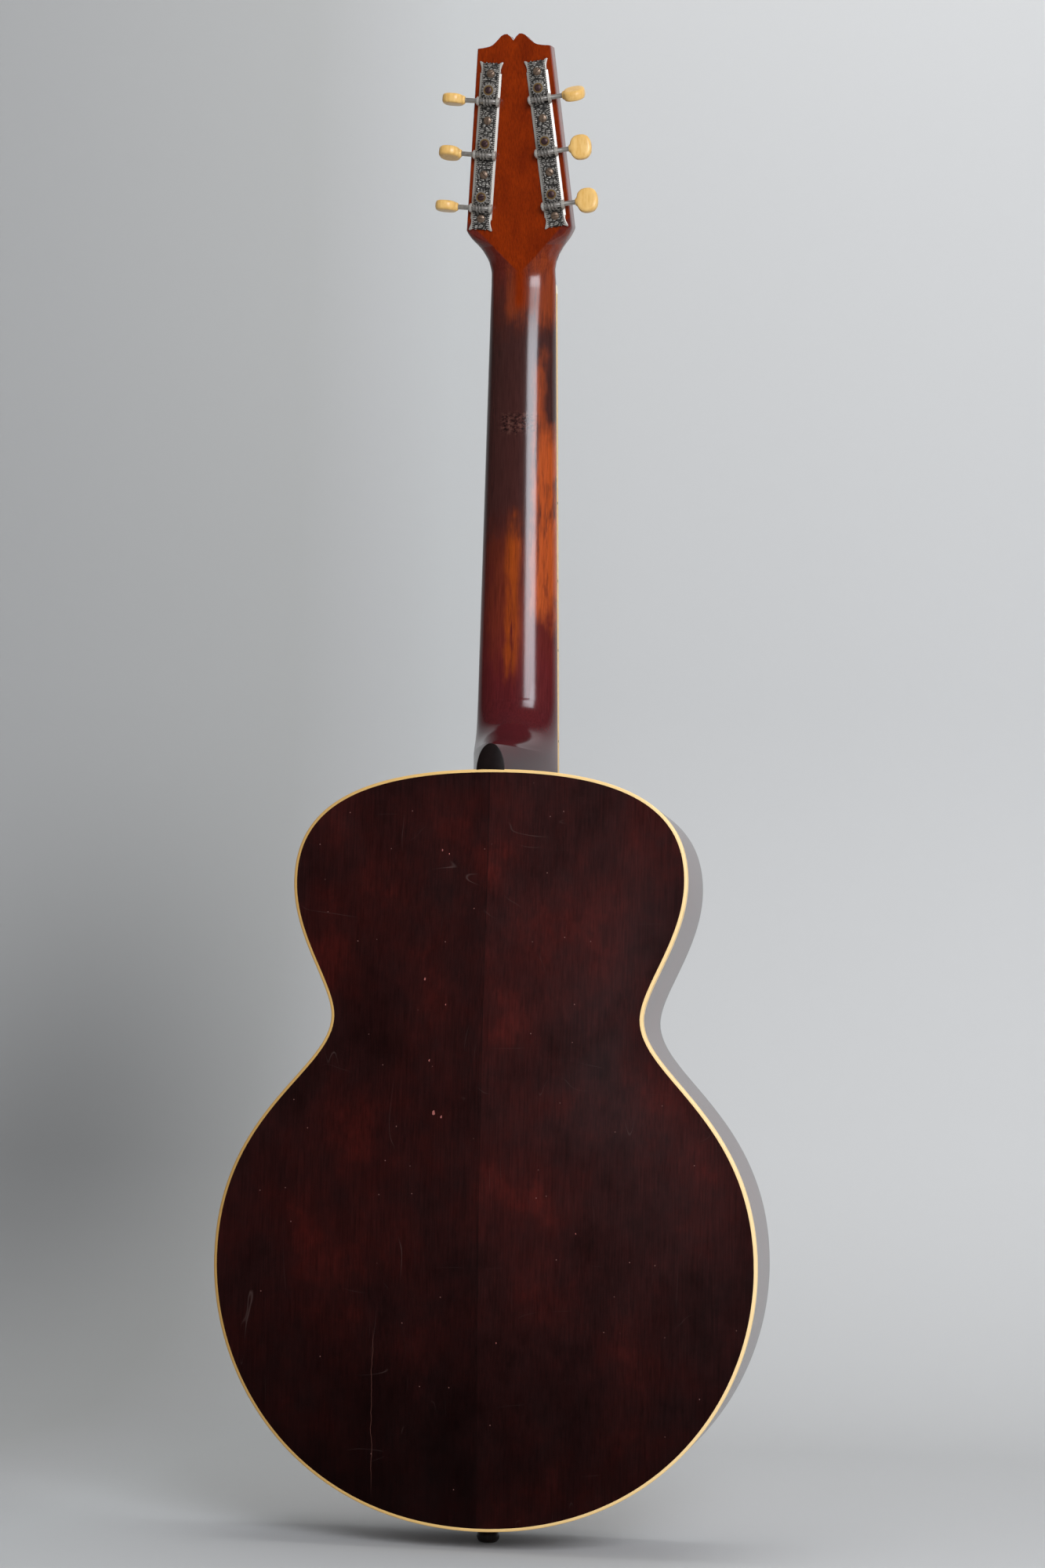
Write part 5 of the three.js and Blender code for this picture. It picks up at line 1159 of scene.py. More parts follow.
@dataclass
class Neck:
    """The one-piece neck with its heel, tongue and head, and the black cap and veneer on them."""

    body: Body
    flank_points: int = 19
    flat_points: int = 12
    depth_at_nut: float = 16.5
    depth_at_heel: float = 19.5
    thinning: float = 2.25
    heel_length: float = 56.0
    heel_depth: float = 115.0
    heel_curve: tuple = ((-0.12, 1.0), (0.16, 0.93), (0.3, 0.79), (0.36, 0.67), (0.44, 0.43), (0.54, 0.22),
                         (0.68, 0.08), (0.84, 0.02), (1.0, 0.0))
    cap_half_width: float = 9.15
    cap_length: float = 18.6
    cap_plane: float = -40.45
    shoulder_height: float = 37.2
    shoulder_half: float = 36.2
    top_height: float = 155.8
    top_half: float = 25.0
    crest_height: float = 9.0
    tenon: tuple = ((-6, -35, -19.4), (6, 37, 1))
    tongue_half: float = 23.0
    tongue_gap: float = 0.15
    flare: tuple = ((0.0, 0.612), (0.264, 0.6), (0.464, 0.646), (0.651, 0.757), (0.838, 0.917),
                    (0.948, 0.983), (1.0, 1.0))
    crest: tuple = ((0.0, 0.45), (0.05, 0.64), (0.11, 0.9), (0.19, 1.0), (0.3, 0.91), (0.4, 0.63),
                    (0.54, 0.26), (0.66, 0.11), (0.8, 0.05), (1.0, 0.0))
    flat_edge: float = 0.9
    square_start: float = 26.3
    square_run: float = 11.0
    flat_spread: tuple = ((7.3, 0.0), (14.8, 7.6), (22.3, 15.0), (26.3, 17.7), (34.0, 30.0), (37.0, 35.3))

    def build(self) -> None:
        """Makes the neck, its heel cap and the head's veneer."""
        self.shaft_and_head()
        self.veneer()

    def heel_down(self, up: float) -> float:
        """How deep the heel is at a share of its length above the body, on a smooth curve."""
        spread = 0.05
        reads = [along(self.heel_curve, up + spread * k / 4) for k in range(-4, 5)]
        return sum(reads) / len(reads)

    def section(self, half: float, deep: float, roundness: float, flat: float = 0.0,
                plane: float = math.inf) -> list[Pair]:
        """The back half of a section, a superellipse that a plane may cut flat in the middle.

        Args:
            half: half the width at the front.
            deep: how deep the round flanks would meet.
            roundness: the superellipse's exponent.
            flat: half the width of the flat.
            plane: how deep the flat lies.

        Returns:
            The points from the bass edge round the back to the treble edge.
        """
        border = max(flat, 2.2)
        end = math.acos((border / half) ** (roundness / 2))
        points = []
        for i in range(self.flank_points):
            angle = end * i / (self.flank_points - 1)
            depth = deep * math.sin(angle) ** (2 / roundness)
            points.append((half * math.cos(angle) ** (2 / roundness), -min(depth, plane)))
        for i in range(self.flat_points):
            x = border * (1 - (i + 1) / self.flat_points)
            points.append((x, -min(deep * (1 - (x / half) ** roundness) ** (1 / roundness), plane)))
        return [*points, *[(-x, y) for x, y in points[-2::-1]]]

    def shaft_section(self, distance: float) -> list[Point]:
        """The neck's section at a distance from the nut, in the neck's frame."""
        half = board_half_width(max(distance, 0.0))
        above = NECK_LENGTH - distance
        share = distance / (NECK_LENGTH - self.heel_length)
        deep = mix(self.depth_at_nut, self.depth_at_heel, share)
        deep -= self.thinning * max(1 - distance / 60, 0.0) ** 2
        roundness = 2.0
        if above < self.heel_length:
            down = self.heel_down(above / self.heel_length)
            deep = self.depth_at_heel + down * (self.heel_depth - self.depth_at_heel)
            roundness = 2.0 - 0.8 * down
        if above < self.cap_length:
            cut = BODY_DEPTH / 2 + NECK_LIFT - self.cap_plane
            half_there = self.cap_half_width * math.sqrt(max(1 - (above / self.cap_length) ** 2, 0.0))
            deep = cut / (1 - (half_there / half) ** roundness) ** (1 / roundness)
        return [(x, y, -distance) for x, y in self.section(half, deep, roundness)]

    def head_half(self, height: float) -> float:
        """Half the head's width at a height on it."""
        if height < self.shoulder_height:
            share = height / self.shoulder_height
            reads = [along(self.flare, share + k * 0.03) for k in (-1, 0, 1)]
            return self.shoulder_half * (sum(reads) / 3 if share < 0.96 else reads[1])
        share = (height - self.shoulder_height) / (self.top_height - self.shoulder_height)
        return mix(self.shoulder_half, self.top_half, share)

    def crest_at(self, x: float) -> float:
        """The height of the head's top edge at a distance from the middle."""
        share = min(abs(x) / self.top_half, 1.0)
        reads = [along(self.crest, max(share + k * 0.02, 0)) for k in (-1, 0, 1)]
        return self.top_height + self.crest_height * (sum(reads) / 3 if share < 0.97 else 0.0)

    def head_section(self, height: float) -> list[Point]:
        """The head's section at a height, in the head's frame: a flat back that narrows to a dart at
        the nut's end, with round flanks below the shoulders and square edges above them."""
        half = self.head_half(height)
        dart = self.flat_spread[0][0]
        if height < dart:
            deep = HEAD_THICKNESS + 1.05 * (1 - height / dart) ** 2
            return [(x, y, height) for x, y in self.section(half, deep, 2.0)]
        flat = half - self.flat_edge
        if height < self.flat_spread[-1][0]:
            flat = along(self.flat_spread, height)
        roundness = 2.0 + 6.0 * ease((height - self.square_start) / self.square_run)
        deep = HEAD_THICKNESS / (1 - (flat / half) ** roundness) ** (1 / roundness)
        return [(x, y, height) for x, y in self.section(half, deep, roundness, flat, HEAD_THICKNESS)]

    def shaft_and_head(self) -> None:
        """Lofts the neck from the heel to the head's crest, and adds the tongue and the tenon."""
        steps, count = 46, 24
        plain = [NECK_LENGTH - self.heel_length * mix(0.004, 1.0, i / steps) for i in range(steps + 1)]
        plain += [plain[-1] * (1 - (i + 1) / count) for i in range(count)]
        rings = [[NECK_FRAME @ Vector(p) for p in self.shaft_section(d)] for d in plain]
        for point in rings[0]:
            point.z = PIN_REACH + self.body.outline.top_edge(point.x) + 0.05
        heights = [0.0, 1.8, 3.6, 5.4, 7.3, 8.8, 10.4, 12, 14, 16, 18, 20, 22, 24, 26, 28, 30, 32, 33.5, 34.8]
        heights += [35.8, 36.6, self.shoulder_height, 50, 65, 80, 95, 110, 125, 138, 148]
        rings += [[HEAD_FRAME @ Vector(p) for p in self.head_section(h)] for h in heights]
        last = self.head_section(self.top_height)
        rings.append([HEAD_FRAME @ Vector((x, y, self.crest_at(x))) for x, y, _ in last])
        fronts = [[ring[0].lerp(ring[-1], 1 - i / 24) for i in range(1, 24)] for ring in rings]
        for i, front in enumerate(fronts[-1]):
            x = (HEAD_FRAME.inverted() @ front).x
            fronts[-1][i] = HEAD_FRAME @ Vector((x, 0, self.crest_at(x)))
        bm = bmesh.new()
        loft(bm, [[tuple(p) for p in (*ring, *front)] for ring, front in zip(rings, fronts)])
        made = bmesh.ops.bisect_plane(bm, geom=[*bm.verts, *bm.edges, *bm.faces],
                                      plane_co=(0, self.cap_plane, 0), plane_no=(0, -1, 0),
                                      clear_outer=True, dist=0.0001)
        rim = [e for e in made["geom_cut"] if isinstance(e, bmesh.types.BMEdge)]
        self.heel_cap({v for e in rim for v in e.verts})
        bmesh.ops.holes_fill(bm, edges=rim, sides=0)
        self.tongue(bm)
        block(bm, *[(x, y, BODY_LENGTH + z) for x, y, z in self.tenon], BODY_FRAME)
        finished(bm, "neck_and_head", NECK, ["neck"], sharp=11)

    def heel_cap(self, rim: set) -> None:
        """Makes the heel cap on the heel's cut end, from the vertices round the cut."""
        middle = PIN_REACH + BODY_LENGTH + 6
        ordered = sorted(((v.co.x, v.co.z) for v in rim), key=lambda p: math.atan2(p[1] - middle, p[0]))
        outline = [ordered[0]]
        for p in ordered[1:]:
            if math.dist(p, outline[-1]) > 0.05:
                outline.append(p)
        bm = bmesh.new()
        slab(bm, outline, self.cap_plane - 0.02, -BODY_DEPTH / 2, rounding=0.35)
        finished(bm, "heel_cap_plate", CAP, ["heel_cap"])

    def tongue(self, bm: bmesh.types.BMesh) -> None:
        """Adds the part of the neck that runs over the soundboard under the fingerboard."""
        end = fret_place(LAST_FRET)
        steps = 14
        rings = []
        for i in range(steps + 1):
            distance = mix(NECK_LENGTH - 1.5, end, i / steps)
            top = NECK_FRAME @ Vector((0, 0, -distance))
            z = min(top.z - PIN_REACH, BODY_LENGTH - 2)
            half, gap = self.tongue_half, self.tongue_gap
            low, low_edge = (self.body.surface(x, z) + gap for x in (0, half))
            rings.append([(half, top.y, top.z), (half, low_edge, top.z), (0, low, top.z),
                          (-half, low_edge, top.z), (-half, top.y, top.z)])
        loft(bm, rings)

    def veneer(self) -> None:
        """Makes the black veneer on the head's front, with rounded edges."""
        heights = [0.0, 5, 10, 15, 20, 25, 28, 31, 34, 36, self.shoulder_height, self.top_height]
        right = [(self.head_half(h), h) for h in heights]
        xs = [self.top_half * s for s in (0.95, 0.9, 0.84, 0.78, 0.72, 0.66, 0.6, 0.56, 0.52, 0.48, 0.44,
                                          0.4, 0.36, 0.32, 0.28, 0.24, 0.2, 0.16, 0.12, 0.08, 0.04)]
        right += [(x, self.crest_at(x)) for x in xs]
        outline = [*right, (0.0, self.crest_at(0)), *[(-x, z) for x, z in reversed(right)]]
        bm = bmesh.new()
        slab(bm, outline, 0.02, VENEER_FRONT, rounding=0.3)
        bm.normal_update()
        edge = bm.faces.layers.float.new("edge")
        for f in bm.faces:
            f[edge] = 1.0 if f.normal.y < 0.6 else 0.0
        finished(bm, "head_front_veneer", VENEER, ["head_veneer"], at=HEAD_FRAME)


@dataclass
class Fingerboard:
    """The fingerboard with its binding, frets, dots and nut, drawn in the neck's frame."""

    thickness: float = 5.7
    lift: float = 0.3
    bottom: float = 0.02
    binding: float = 1.6
    fret_width: float = 2.0
    fret_height: float = 1.0
    marked: tuple = (3, 5, 7, 9, 12, 15, 17)
    side_marked: tuple = (5, 7, 9, 12)
    octave: int = 12
    octave_offset: float = 8.0
    dot_radius: float = 3.0
    side_dot_radius: float = 0.95
    side_dot_height: float = 3.0

    @property
    def top(self) -> float:
        """The height of the playing face."""
        return self.lift + self.thickness

    def build(self) -> None:
        """Makes every piece of the fingerboard."""
        end = fret_place(LAST_FRET) + BOARD_OVERHANG
        self.board(end)
        self.edge(end)
        self.frets()
        self.dots()
        self.nut()

    def board(self, end: float) -> None:
        """Makes the rosewood board inside its binding."""
        inset = self.binding + 0.02
        low, high = board_half_width(0) - inset, board_half_width(end) - inset
        points = [(-low, -0.05), (-high, -end + inset), (high, -end + inset), (low, -0.05)]
        bm = bmesh.new()
        slab(bm, points, self.bottom, self.top)
        finished(bm, "fingerboard_blank", ROSEWOOD, ["fingerboard"], at=NECK_FRAME)

    def edge(self, end: float) -> None:
        """Makes the cream strip down both edges and round the end."""
        bm = bmesh.new()
        sections = []
        for side, away in ((1, 0.0), (1, end), (-1, end), (-1, 0.0)):
            half = board_half_width(away)
            z = -away + (self.binding if away else 0.0)
            sections.append([(side * half, self.bottom, -away), (side * half, self.top - 0.3, -away),
                             (side * (half - 0.3), self.top, -away + (0.3 if away else 0)),
                             (side * (half - self.binding), self.top, z),
                             (side * (half - self.binding), self.bottom, z)])
        loft(bm, sections)
        finished(bm, "fingerboard_edge_strip", IVOROID, ["fingerboard_binding"], at=NECK_FRAME)

    def frets(self) -> None:
        """Makes the fret wires, domed and rounded at their ends."""
        bm = bmesh.new()
        arc = [(self.fret_width / 2 * math.cos(t), self.top + self.fret_height * math.sin(t))
               for t in (0, 0.35, 0.75, 1.2, math.pi / 2, math.pi - 1.2, math.pi - 0.75, math.pi - 0.35,
                         math.pi)]
        section = [(-self.fret_width / 2, self.top - 0.3), (self.fret_width / 2, self.top - 0.3), *arc]
        for number in range(1, LAST_FRET + 1):
            place = fret_place(number)
            half = board_half_width(place) - self.binding - 0.1
            rings = []
            for x, share in ((-half, 0.25), (-half + 0.25, 0.8), (-half + 0.7, 1.0), (half - 0.7, 1.0),
                             (half - 0.25, 0.8), (half, 0.25)):
                rings.append([(x, mix(self.top, y, share) if y > self.top else y, -place + z)
                              for z, y in section])
            loft(bm, rings)
        finished(bm, "fret_wires", FRET_WIRE, at=NECK_FRAME)

    def dots(self) -> None:
        """Makes the pearl dots in the board and the dark dots in its edge."""
        front, side = bmesh.new(), bmesh.new()
        for number in self.marked:
            middle = fret_place(number - 0.5)
            for x in ((-self.octave_offset, self.octave_offset) if number == self.octave else (0.0,)):
                slab(front, circle_points(self.dot_radius, 28, (x, -middle)), self.top - 0.4, self.top + 0.03)
            if number in self.side_marked:
                radius = self.side_dot_radius
                spin_profile(side, [(0, -0.5), (radius, -0.5), (radius, 0.06), (0, 0.06)], 16,
                             turned("Y", 90, (board_half_width(middle), self.side_dot_height, -middle)))
        finished(front, "fingerboard_dots", PEARL, at=NECK_FRAME)
        finished(side, "side_dots", INLAY, at=NECK_FRAME)

    def nut(self) -> None:
        """Makes the nut, higher over the strings' slots than the frets and sloped to the head."""
        half = board_half_width(0)
        section = [(0.02, 0.05), (7.2, 0.05), (7.3, 0.4), (7.3, 1.6), (6.6, 3.6), (5.0, 5.35), (0.02, 5.35)]
        rings = [[(x, y, z) for y, z in section] for x in (-half, -half + 0.4, half - 0.4, half)]
        bm = bmesh.new()
        loft(bm, rings)
        finished(bm, "string_nut", BONE, ["nut"], at=NECK_FRAME)


# Tuners


@dataclass
class Tuners:
    """Two engraved plates, each with three worms, gears, string posts and buttons."""

    top_offset: float = 14.84
    top_height: float = 146.9
    bottom_offset: float = 26.05
    bottom_height: float = 36.7
    width: float = 14.5
    ear_width: float = 16.0
    end_length: float = 7.5
    thickness: float = 1.2
    slope: float = 1.5
    spacing: float = 35.0
    rise: float = 1.35
    plate_screw: Pair = (2.75, 1.35)
    gear_screw: Pair = (2.35, 0.85)
    screw_places: tuple = (47.6, 16.9, -18.6, -47.5)
    lug_radius: float = 2.9
    lug_thickness: float = 1.4
    collar_radius: float = 2.35
    collar_thickness: float = 0.55
    gear_radius: float = 5.15
    gear_root: float = 3.8
    gear_thickness: float = 2.2
    teeth: int = 14
    pitch: float = 2.1
    centre_distance: float = 7.2
    worm_height: float = 3.5
    shaft_radius: float = 1.6
    core_radius: float = 1.75
    post_radius: float = 3.1
    post_reach: float = 18.0
    hole_drop: float = 6.0
    button_centre: float = 23.5
    button_length: float = 14.4
    button_width: float = 16.6
    button_thickness: float = 6.6
    button_squareness: float = 0.82
    turns: tuple = (174, 165, 175, 23, 81, 74)

    @property
    def length(self) -> float:
        """A plate's length."""
        return math.hypot(self.bottom_offset - self.top_offset, self.top_height - self.bottom_height)

    @property
    def plate_back(self) -> float:
        """The y of a plate's outer face."""
        return -HEAD_THICKNESS - 0.3 - self.thickness

    @property
    def worm_y(self) -> float:
        """The y of the worms' axes."""
        return self.plate_back - self.worm_height

    def frame(self, side: Side) -> Matrix:
        """The frame of one side's plate: X across it, Z up along it."""
        lean = math.degrees(math.atan2(self.bottom_offset - self.top_offset,
                                       self.top_height - self.bottom_height))
        middle = (side.value * (self.top_offset + self.bottom_offset) / 2, 0,
                  (self.top_height + self.bottom_height) / 2)
        return HEAD_FRAME @ turned("Y", -side.value * lean, middle)

    def tuner(self, number: int) -> tuple[Side, float]:
        """The side and the gear's place along the plate of a string's tuner."""
        side = Side.TREBLE if number <= 3 else Side.BASS
        step = number - 1 if number <= 3 else 6 - number
        return side, self.rise + (step - 1) * self.spacing

    def build(self) -> None:
        """Makes every piece of the tuners."""
        for side in Side:
            self.plate(side)
            self.screws(side)
            self.ferrules(side)
        for number in range(1, 7):
            self.shaft(number)
            self.button(number)
            self.post(number)

    def plate_outline(self) -> list[Pair]:
        """The plate's outline, with eared and scalloped ends."""
        half, ear, end = self.width / 2, self.ear_width / 2, self.length / 2
        scallops = [(0.0, 1.0), (0.06, 0.75), (0.1, 0.45), (0.14, 0.75), (0.2, 1.1), (0.3, 1.0),
                    (0.37, 0.75), (0.42, 0.3), (0.47, 0.75), (0.54, 1.2), (0.64, 1.1), (0.72, 0.7),
                    (0.78, 0.5), (0.86, 0.15), (0.94, -0.1), (1.0, 0.0)]
        quarter = [(half - self.slope, end - self.end_length), (half - 0.55, end - 7.2),
                   (half - 0.75, end - 5.6), (half - 0.5, end - 3.9), (half + 0.05, end - 2.3),
                   (ear, end - 0.35)]
        quarter += [(ear * s, end - 0.9 * d) for s, d in reversed(scallops[:-1])]
        upper = [*quarter, *[(-x, z) for x, z in reversed(quarter[:-1])]]
        return [*upper, *[(-x, -z) for x, z in upper]]

    def plate(self, side: Side) -> None:
        """Makes one plate with its lugs, and the map that its engraving follows."""
        bm = bmesh.new()
        slab(bm, self.plate_outline(), self.plate_back, self.plate_back + self.thickness, rounding=0.25)
        reach = self.length / 2 - self.end_length
        half, back, front = self.width / 2, self.plate_back, self.plate_back + self.thickness
        for sign in (-1, 1):
            sloped = [(half - self.slope, front), (half - self.slope, back), (half, back + 0.7),
                      (half, front)]
            loft(bm, [[(sign * x, y, z) for x, y in sloped] for z in (-reach, reach)])
        for number in range(1, 7):
            where, gear = self.tuner(number)
            if where is side:
                for end in (-1, 1):
                    self.lug(bm, end, gear - self.centre_distance)
        flat = bm.loops.layers.uv.new("plate")
        for f in bm.faces:
            for loop in f.loops:
                loop[flat].uv = (loop.vert.co.x, loop.vert.co.z)
        name = f"{side.name.lower()}_tuner_plate"
        finished(bm, name + "_engraved", PLATE, [name], at=self.frame(side))

    def lug(self, bm: bmesh.types.BMesh, end: int, z: float) -> None:
        """Adds one round-topped ear that carries a worm shaft, with a thin collar on its outer face."""
        edge, top, radius, foot = self.width / 2, self.worm_y, self.lug_radius, self.lug_radius + 0.2
        arc = [(z + radius * math.cos(t), top - radius * math.sin(t))
               for t in (math.pi * i / 12 for i in range(13))]
        points = [(z + foot, self.plate_back), *arc, (z - foot, self.plate_back)]
        loft(bm, [[(x, b, a) for a, b in points]
                  for x in sorted((end * edge, end * (edge - self.lug_thickness)))])
        collar, wide = self.collar_thickness, self.collar_radius
        for out in (0.0, -collar - self.lug_thickness):
            spin_profile(bm, [(0, 0), (wide, 0), (wide, 0.4), (wide - 0.3, collar), (0, collar)], 24,
                         turned("Y", 90 * end, (end * (edge + out), top, z)))

    def screws(self, side: Side) -> None:
        """Makes the slotted round-head screws that hold a plate."""
        bm = bmesh.new()
        for i, z in enumerate(self.screw_places):
            screw_head(bm, turned("X", 90, (0, self.plate_back + 0.05, z)), *self.plate_screw, 35 + 50 * i)
        finished(bm, f"{side.name.lower()}_plate_screws", SCREW, at=self.frame(side))

    def ferrules(self, side: Side) -> None:
        """Makes the stepped bushings where the posts leave the head's front."""
        bm = bmesh.new()
        profile = [(0, 0), (5.3, 0), (5.3, 0.5), (5.0, 0.8), (4.3, 0.9), (4.1, 1.5), (3.5, 1.7), (0, 1.7)]
        for step in (-1, 0, 1):
            spin_profile(bm, profile, 40,
                         turned("X", -90, (0, VENEER_FRONT, self.rise + step * self.spacing)))
        finished(bm, f"{side.name.lower()}_post_ferrules", NICKEL, at=self.frame(side))

    def shaft_frame(self, number: int) -> Matrix:
        """A frame on a worm's axis: X out along the shaft on the bass side, Z to the plate."""
        side, gear = self.tuner(number)
        return self.frame(side) @ turned("X", 90, (0, self.worm_y, gear - self.centre_distance))

    def shaft(self, number: int) -> None:
        """Makes a worm with its threads and the shaft that carries the button."""
        side, _ = self.tuner(number)
        bm = bmesh.new()
        inner, outer = self.width / 2 + 0.9, self.button_centre - self.button_length / 2 + 1.5
        low, high = (-inner, outer) if side is Side.BASS else (-outer, inner)
        thin, tip, core = self.shaft_radius, self.shaft_radius - 0.25, self.core_radius
        profile = [(0, low), (tip, low), (thin, low + 0.3), (thin, -5.6), (core, -5.3),
                   (core, 5.3), (thin, 5.6), (thin, high - 0.3), (tip, high), (0, high)]
        spin_profile(bm, profile, 28, turned("Y", 90))
        self.thread(bm)
        finished(bm, f"string_{number}_worm", WORN_NICKEL, [f"string_{number}_worm_shaft"],
                 f"string_{number}_key", self.shaft_frame(number))

    def thread(self, bm: bmesh.types.BMesh) -> None:
        """Adds a worm's thread along X, swept by a spin that climbs as it turns."""
        turns, steps = 3, 16
        x = -self.pitch * turns / 2
        corners = [(x - 0.5, 1.45, 0), (x - 0.22, 3.1, 0), (x + 0.22, 3.1, 0), (x + 0.5, 1.45, 0)]
        edges = new_loop(bm, corners)
        face = bmesh.ops.contextual_create(bm, geom=edges)["faces"]
        bmesh.ops.spin(bm, geom=face, cent=(0, 0, 0), axis=(1, 0, 0), dvec=(self.pitch / steps, 0, 0),
                       angle=math.tau * turns, steps=steps * turns, use_merge=False)

    def button(self, number: int) -> None:
        """Makes a button: a thick oval tablet with rounded edges, turned as it was left."""
        side, _ = self.tuner(number)
        bm = bmesh.new()
        half_l, half_w, half_t = self.button_length / 2, self.button_width / 2, self.button_thickness / 2
        outline = [(half_l * math.copysign(abs(c) ** self.button_squareness, c),
                    half_w * math.copysign(abs(s) ** self.button_squareness, s))
                   for c, s in circle_points(1.0, 48)]
        levels = [(-1.0, 0.55), (-0.96, 0.8), (-0.86, 0.9), (-0.68, 0.965), (-0.35, 1.0), (0.35, 1.0),
                  (0.68, 0.965), (0.86, 0.9), (0.96, 0.8), (1.0, 0.55)]
        rings = [[(x * grow, half_t * level, z * grow) for x, z in outline] for level, grow in levels]
        loft(bm, rings)
        spin_profile(bm, [(0, -half_l - 0.9), (2.1, -half_l - 0.9), (2.7, -half_l - 0.4),
                          (3.1, -half_l + 1.2), (0, -half_l + 1.2)], 24, turned("Y", 90))
        if side is Side.TREBLE:
            bmesh.ops.rotate(bm, cent=(0, 0, 0), matrix=Matrix.Rotation(math.pi, 3, "Z"), verts=bm.verts)
        place = (self.shaft_frame(number) @ turned("X", self.turns[number - 1])
                 @ Matrix.Translation((side.value * self.button_centre, 0, 0)))
        finished(bm, f"string_{number}_oval_button", BUTTON, [f"string_{number}_button"],
                 f"string_{number}_key", place, sharp=50)

    def post(self, number: int) -> None:
        """Makes a gear with its screw on the post that carries the string."""
        bm = bmesh.new()
        pitch_radius = self.pitch * self.teeth / math.tau
        climb = self.pitch / (math.tau * (self.centre_distance - pitch_radius))
        twist = climb * self.gear_thickness / pitch_radius
        rings = []
        for level, shrink in ((-0.5, 0.93), (-0.42, 1.0), (0.42, 1.0), (0.5, 0.93)):
            ring = []
            for i in range(self.teeth):
                middle = math.tau * i / self.teeth - math.pi / 2 + level * twist
                for radius, width, end in ((self.gear_root, 1.0, -1), (self.gear_radius, 0.45, -1),
                                           (self.gear_radius, 0.45, 1), (self.gear_root, 1.0, 1)):
                    angle = middle + end * width / (2 * radius)
                    reach = radius * (shrink if radius > self.gear_root else 1)
                    ring.append((reach * math.cos(angle), reach * math.sin(angle),
                                 level * self.gear_thickness))
            rings.append(ring)
        loft(bm, rings)
        top = self.worm_y - VENEER_FRONT - self.post_reach
        waist = top + self.hole_drop
        profile = [(0, top), (2.2, top), (2.8, top + 0.5), (self.post_radius, top + 1.4),
                   (self.post_radius, waist - 3.4), (2.75, waist - 1.8), (2.6, waist + 0.4),
                   (2.75, waist + 4.2), (self.post_radius, waist + 5.6), (self.post_radius, 0), (0, 0)]
        spin_profile(bm, profile, 36)
        place = self.shaft_frame(number) @ Matrix.Translation((0, self.centre_distance, 0))
        name, body = f"string_{number}_gear", f"string_{number}_post"
        finished(bm, name + "_and_post", WORN_NICKEL, [name + "_post"], body, place)
        collar = bmesh.new()
        spin_profile(collar, [(0, 0.9), (3.3, 0.9), (3.3, 1.35), (3.0, 1.6), (0, 1.6)], 32)
        finished(collar, name + "_collar", AGED_BRASS, body=body, at=place)
        screw = bmesh.new()
        screw_head(screw, Matrix.Translation((0, 0, 1.55)), *self.gear_screw, 20 * number)
        finished(screw, name + "_screw", GEAR_SCREW, body=body, at=place)


# Fittings of the front and the tail


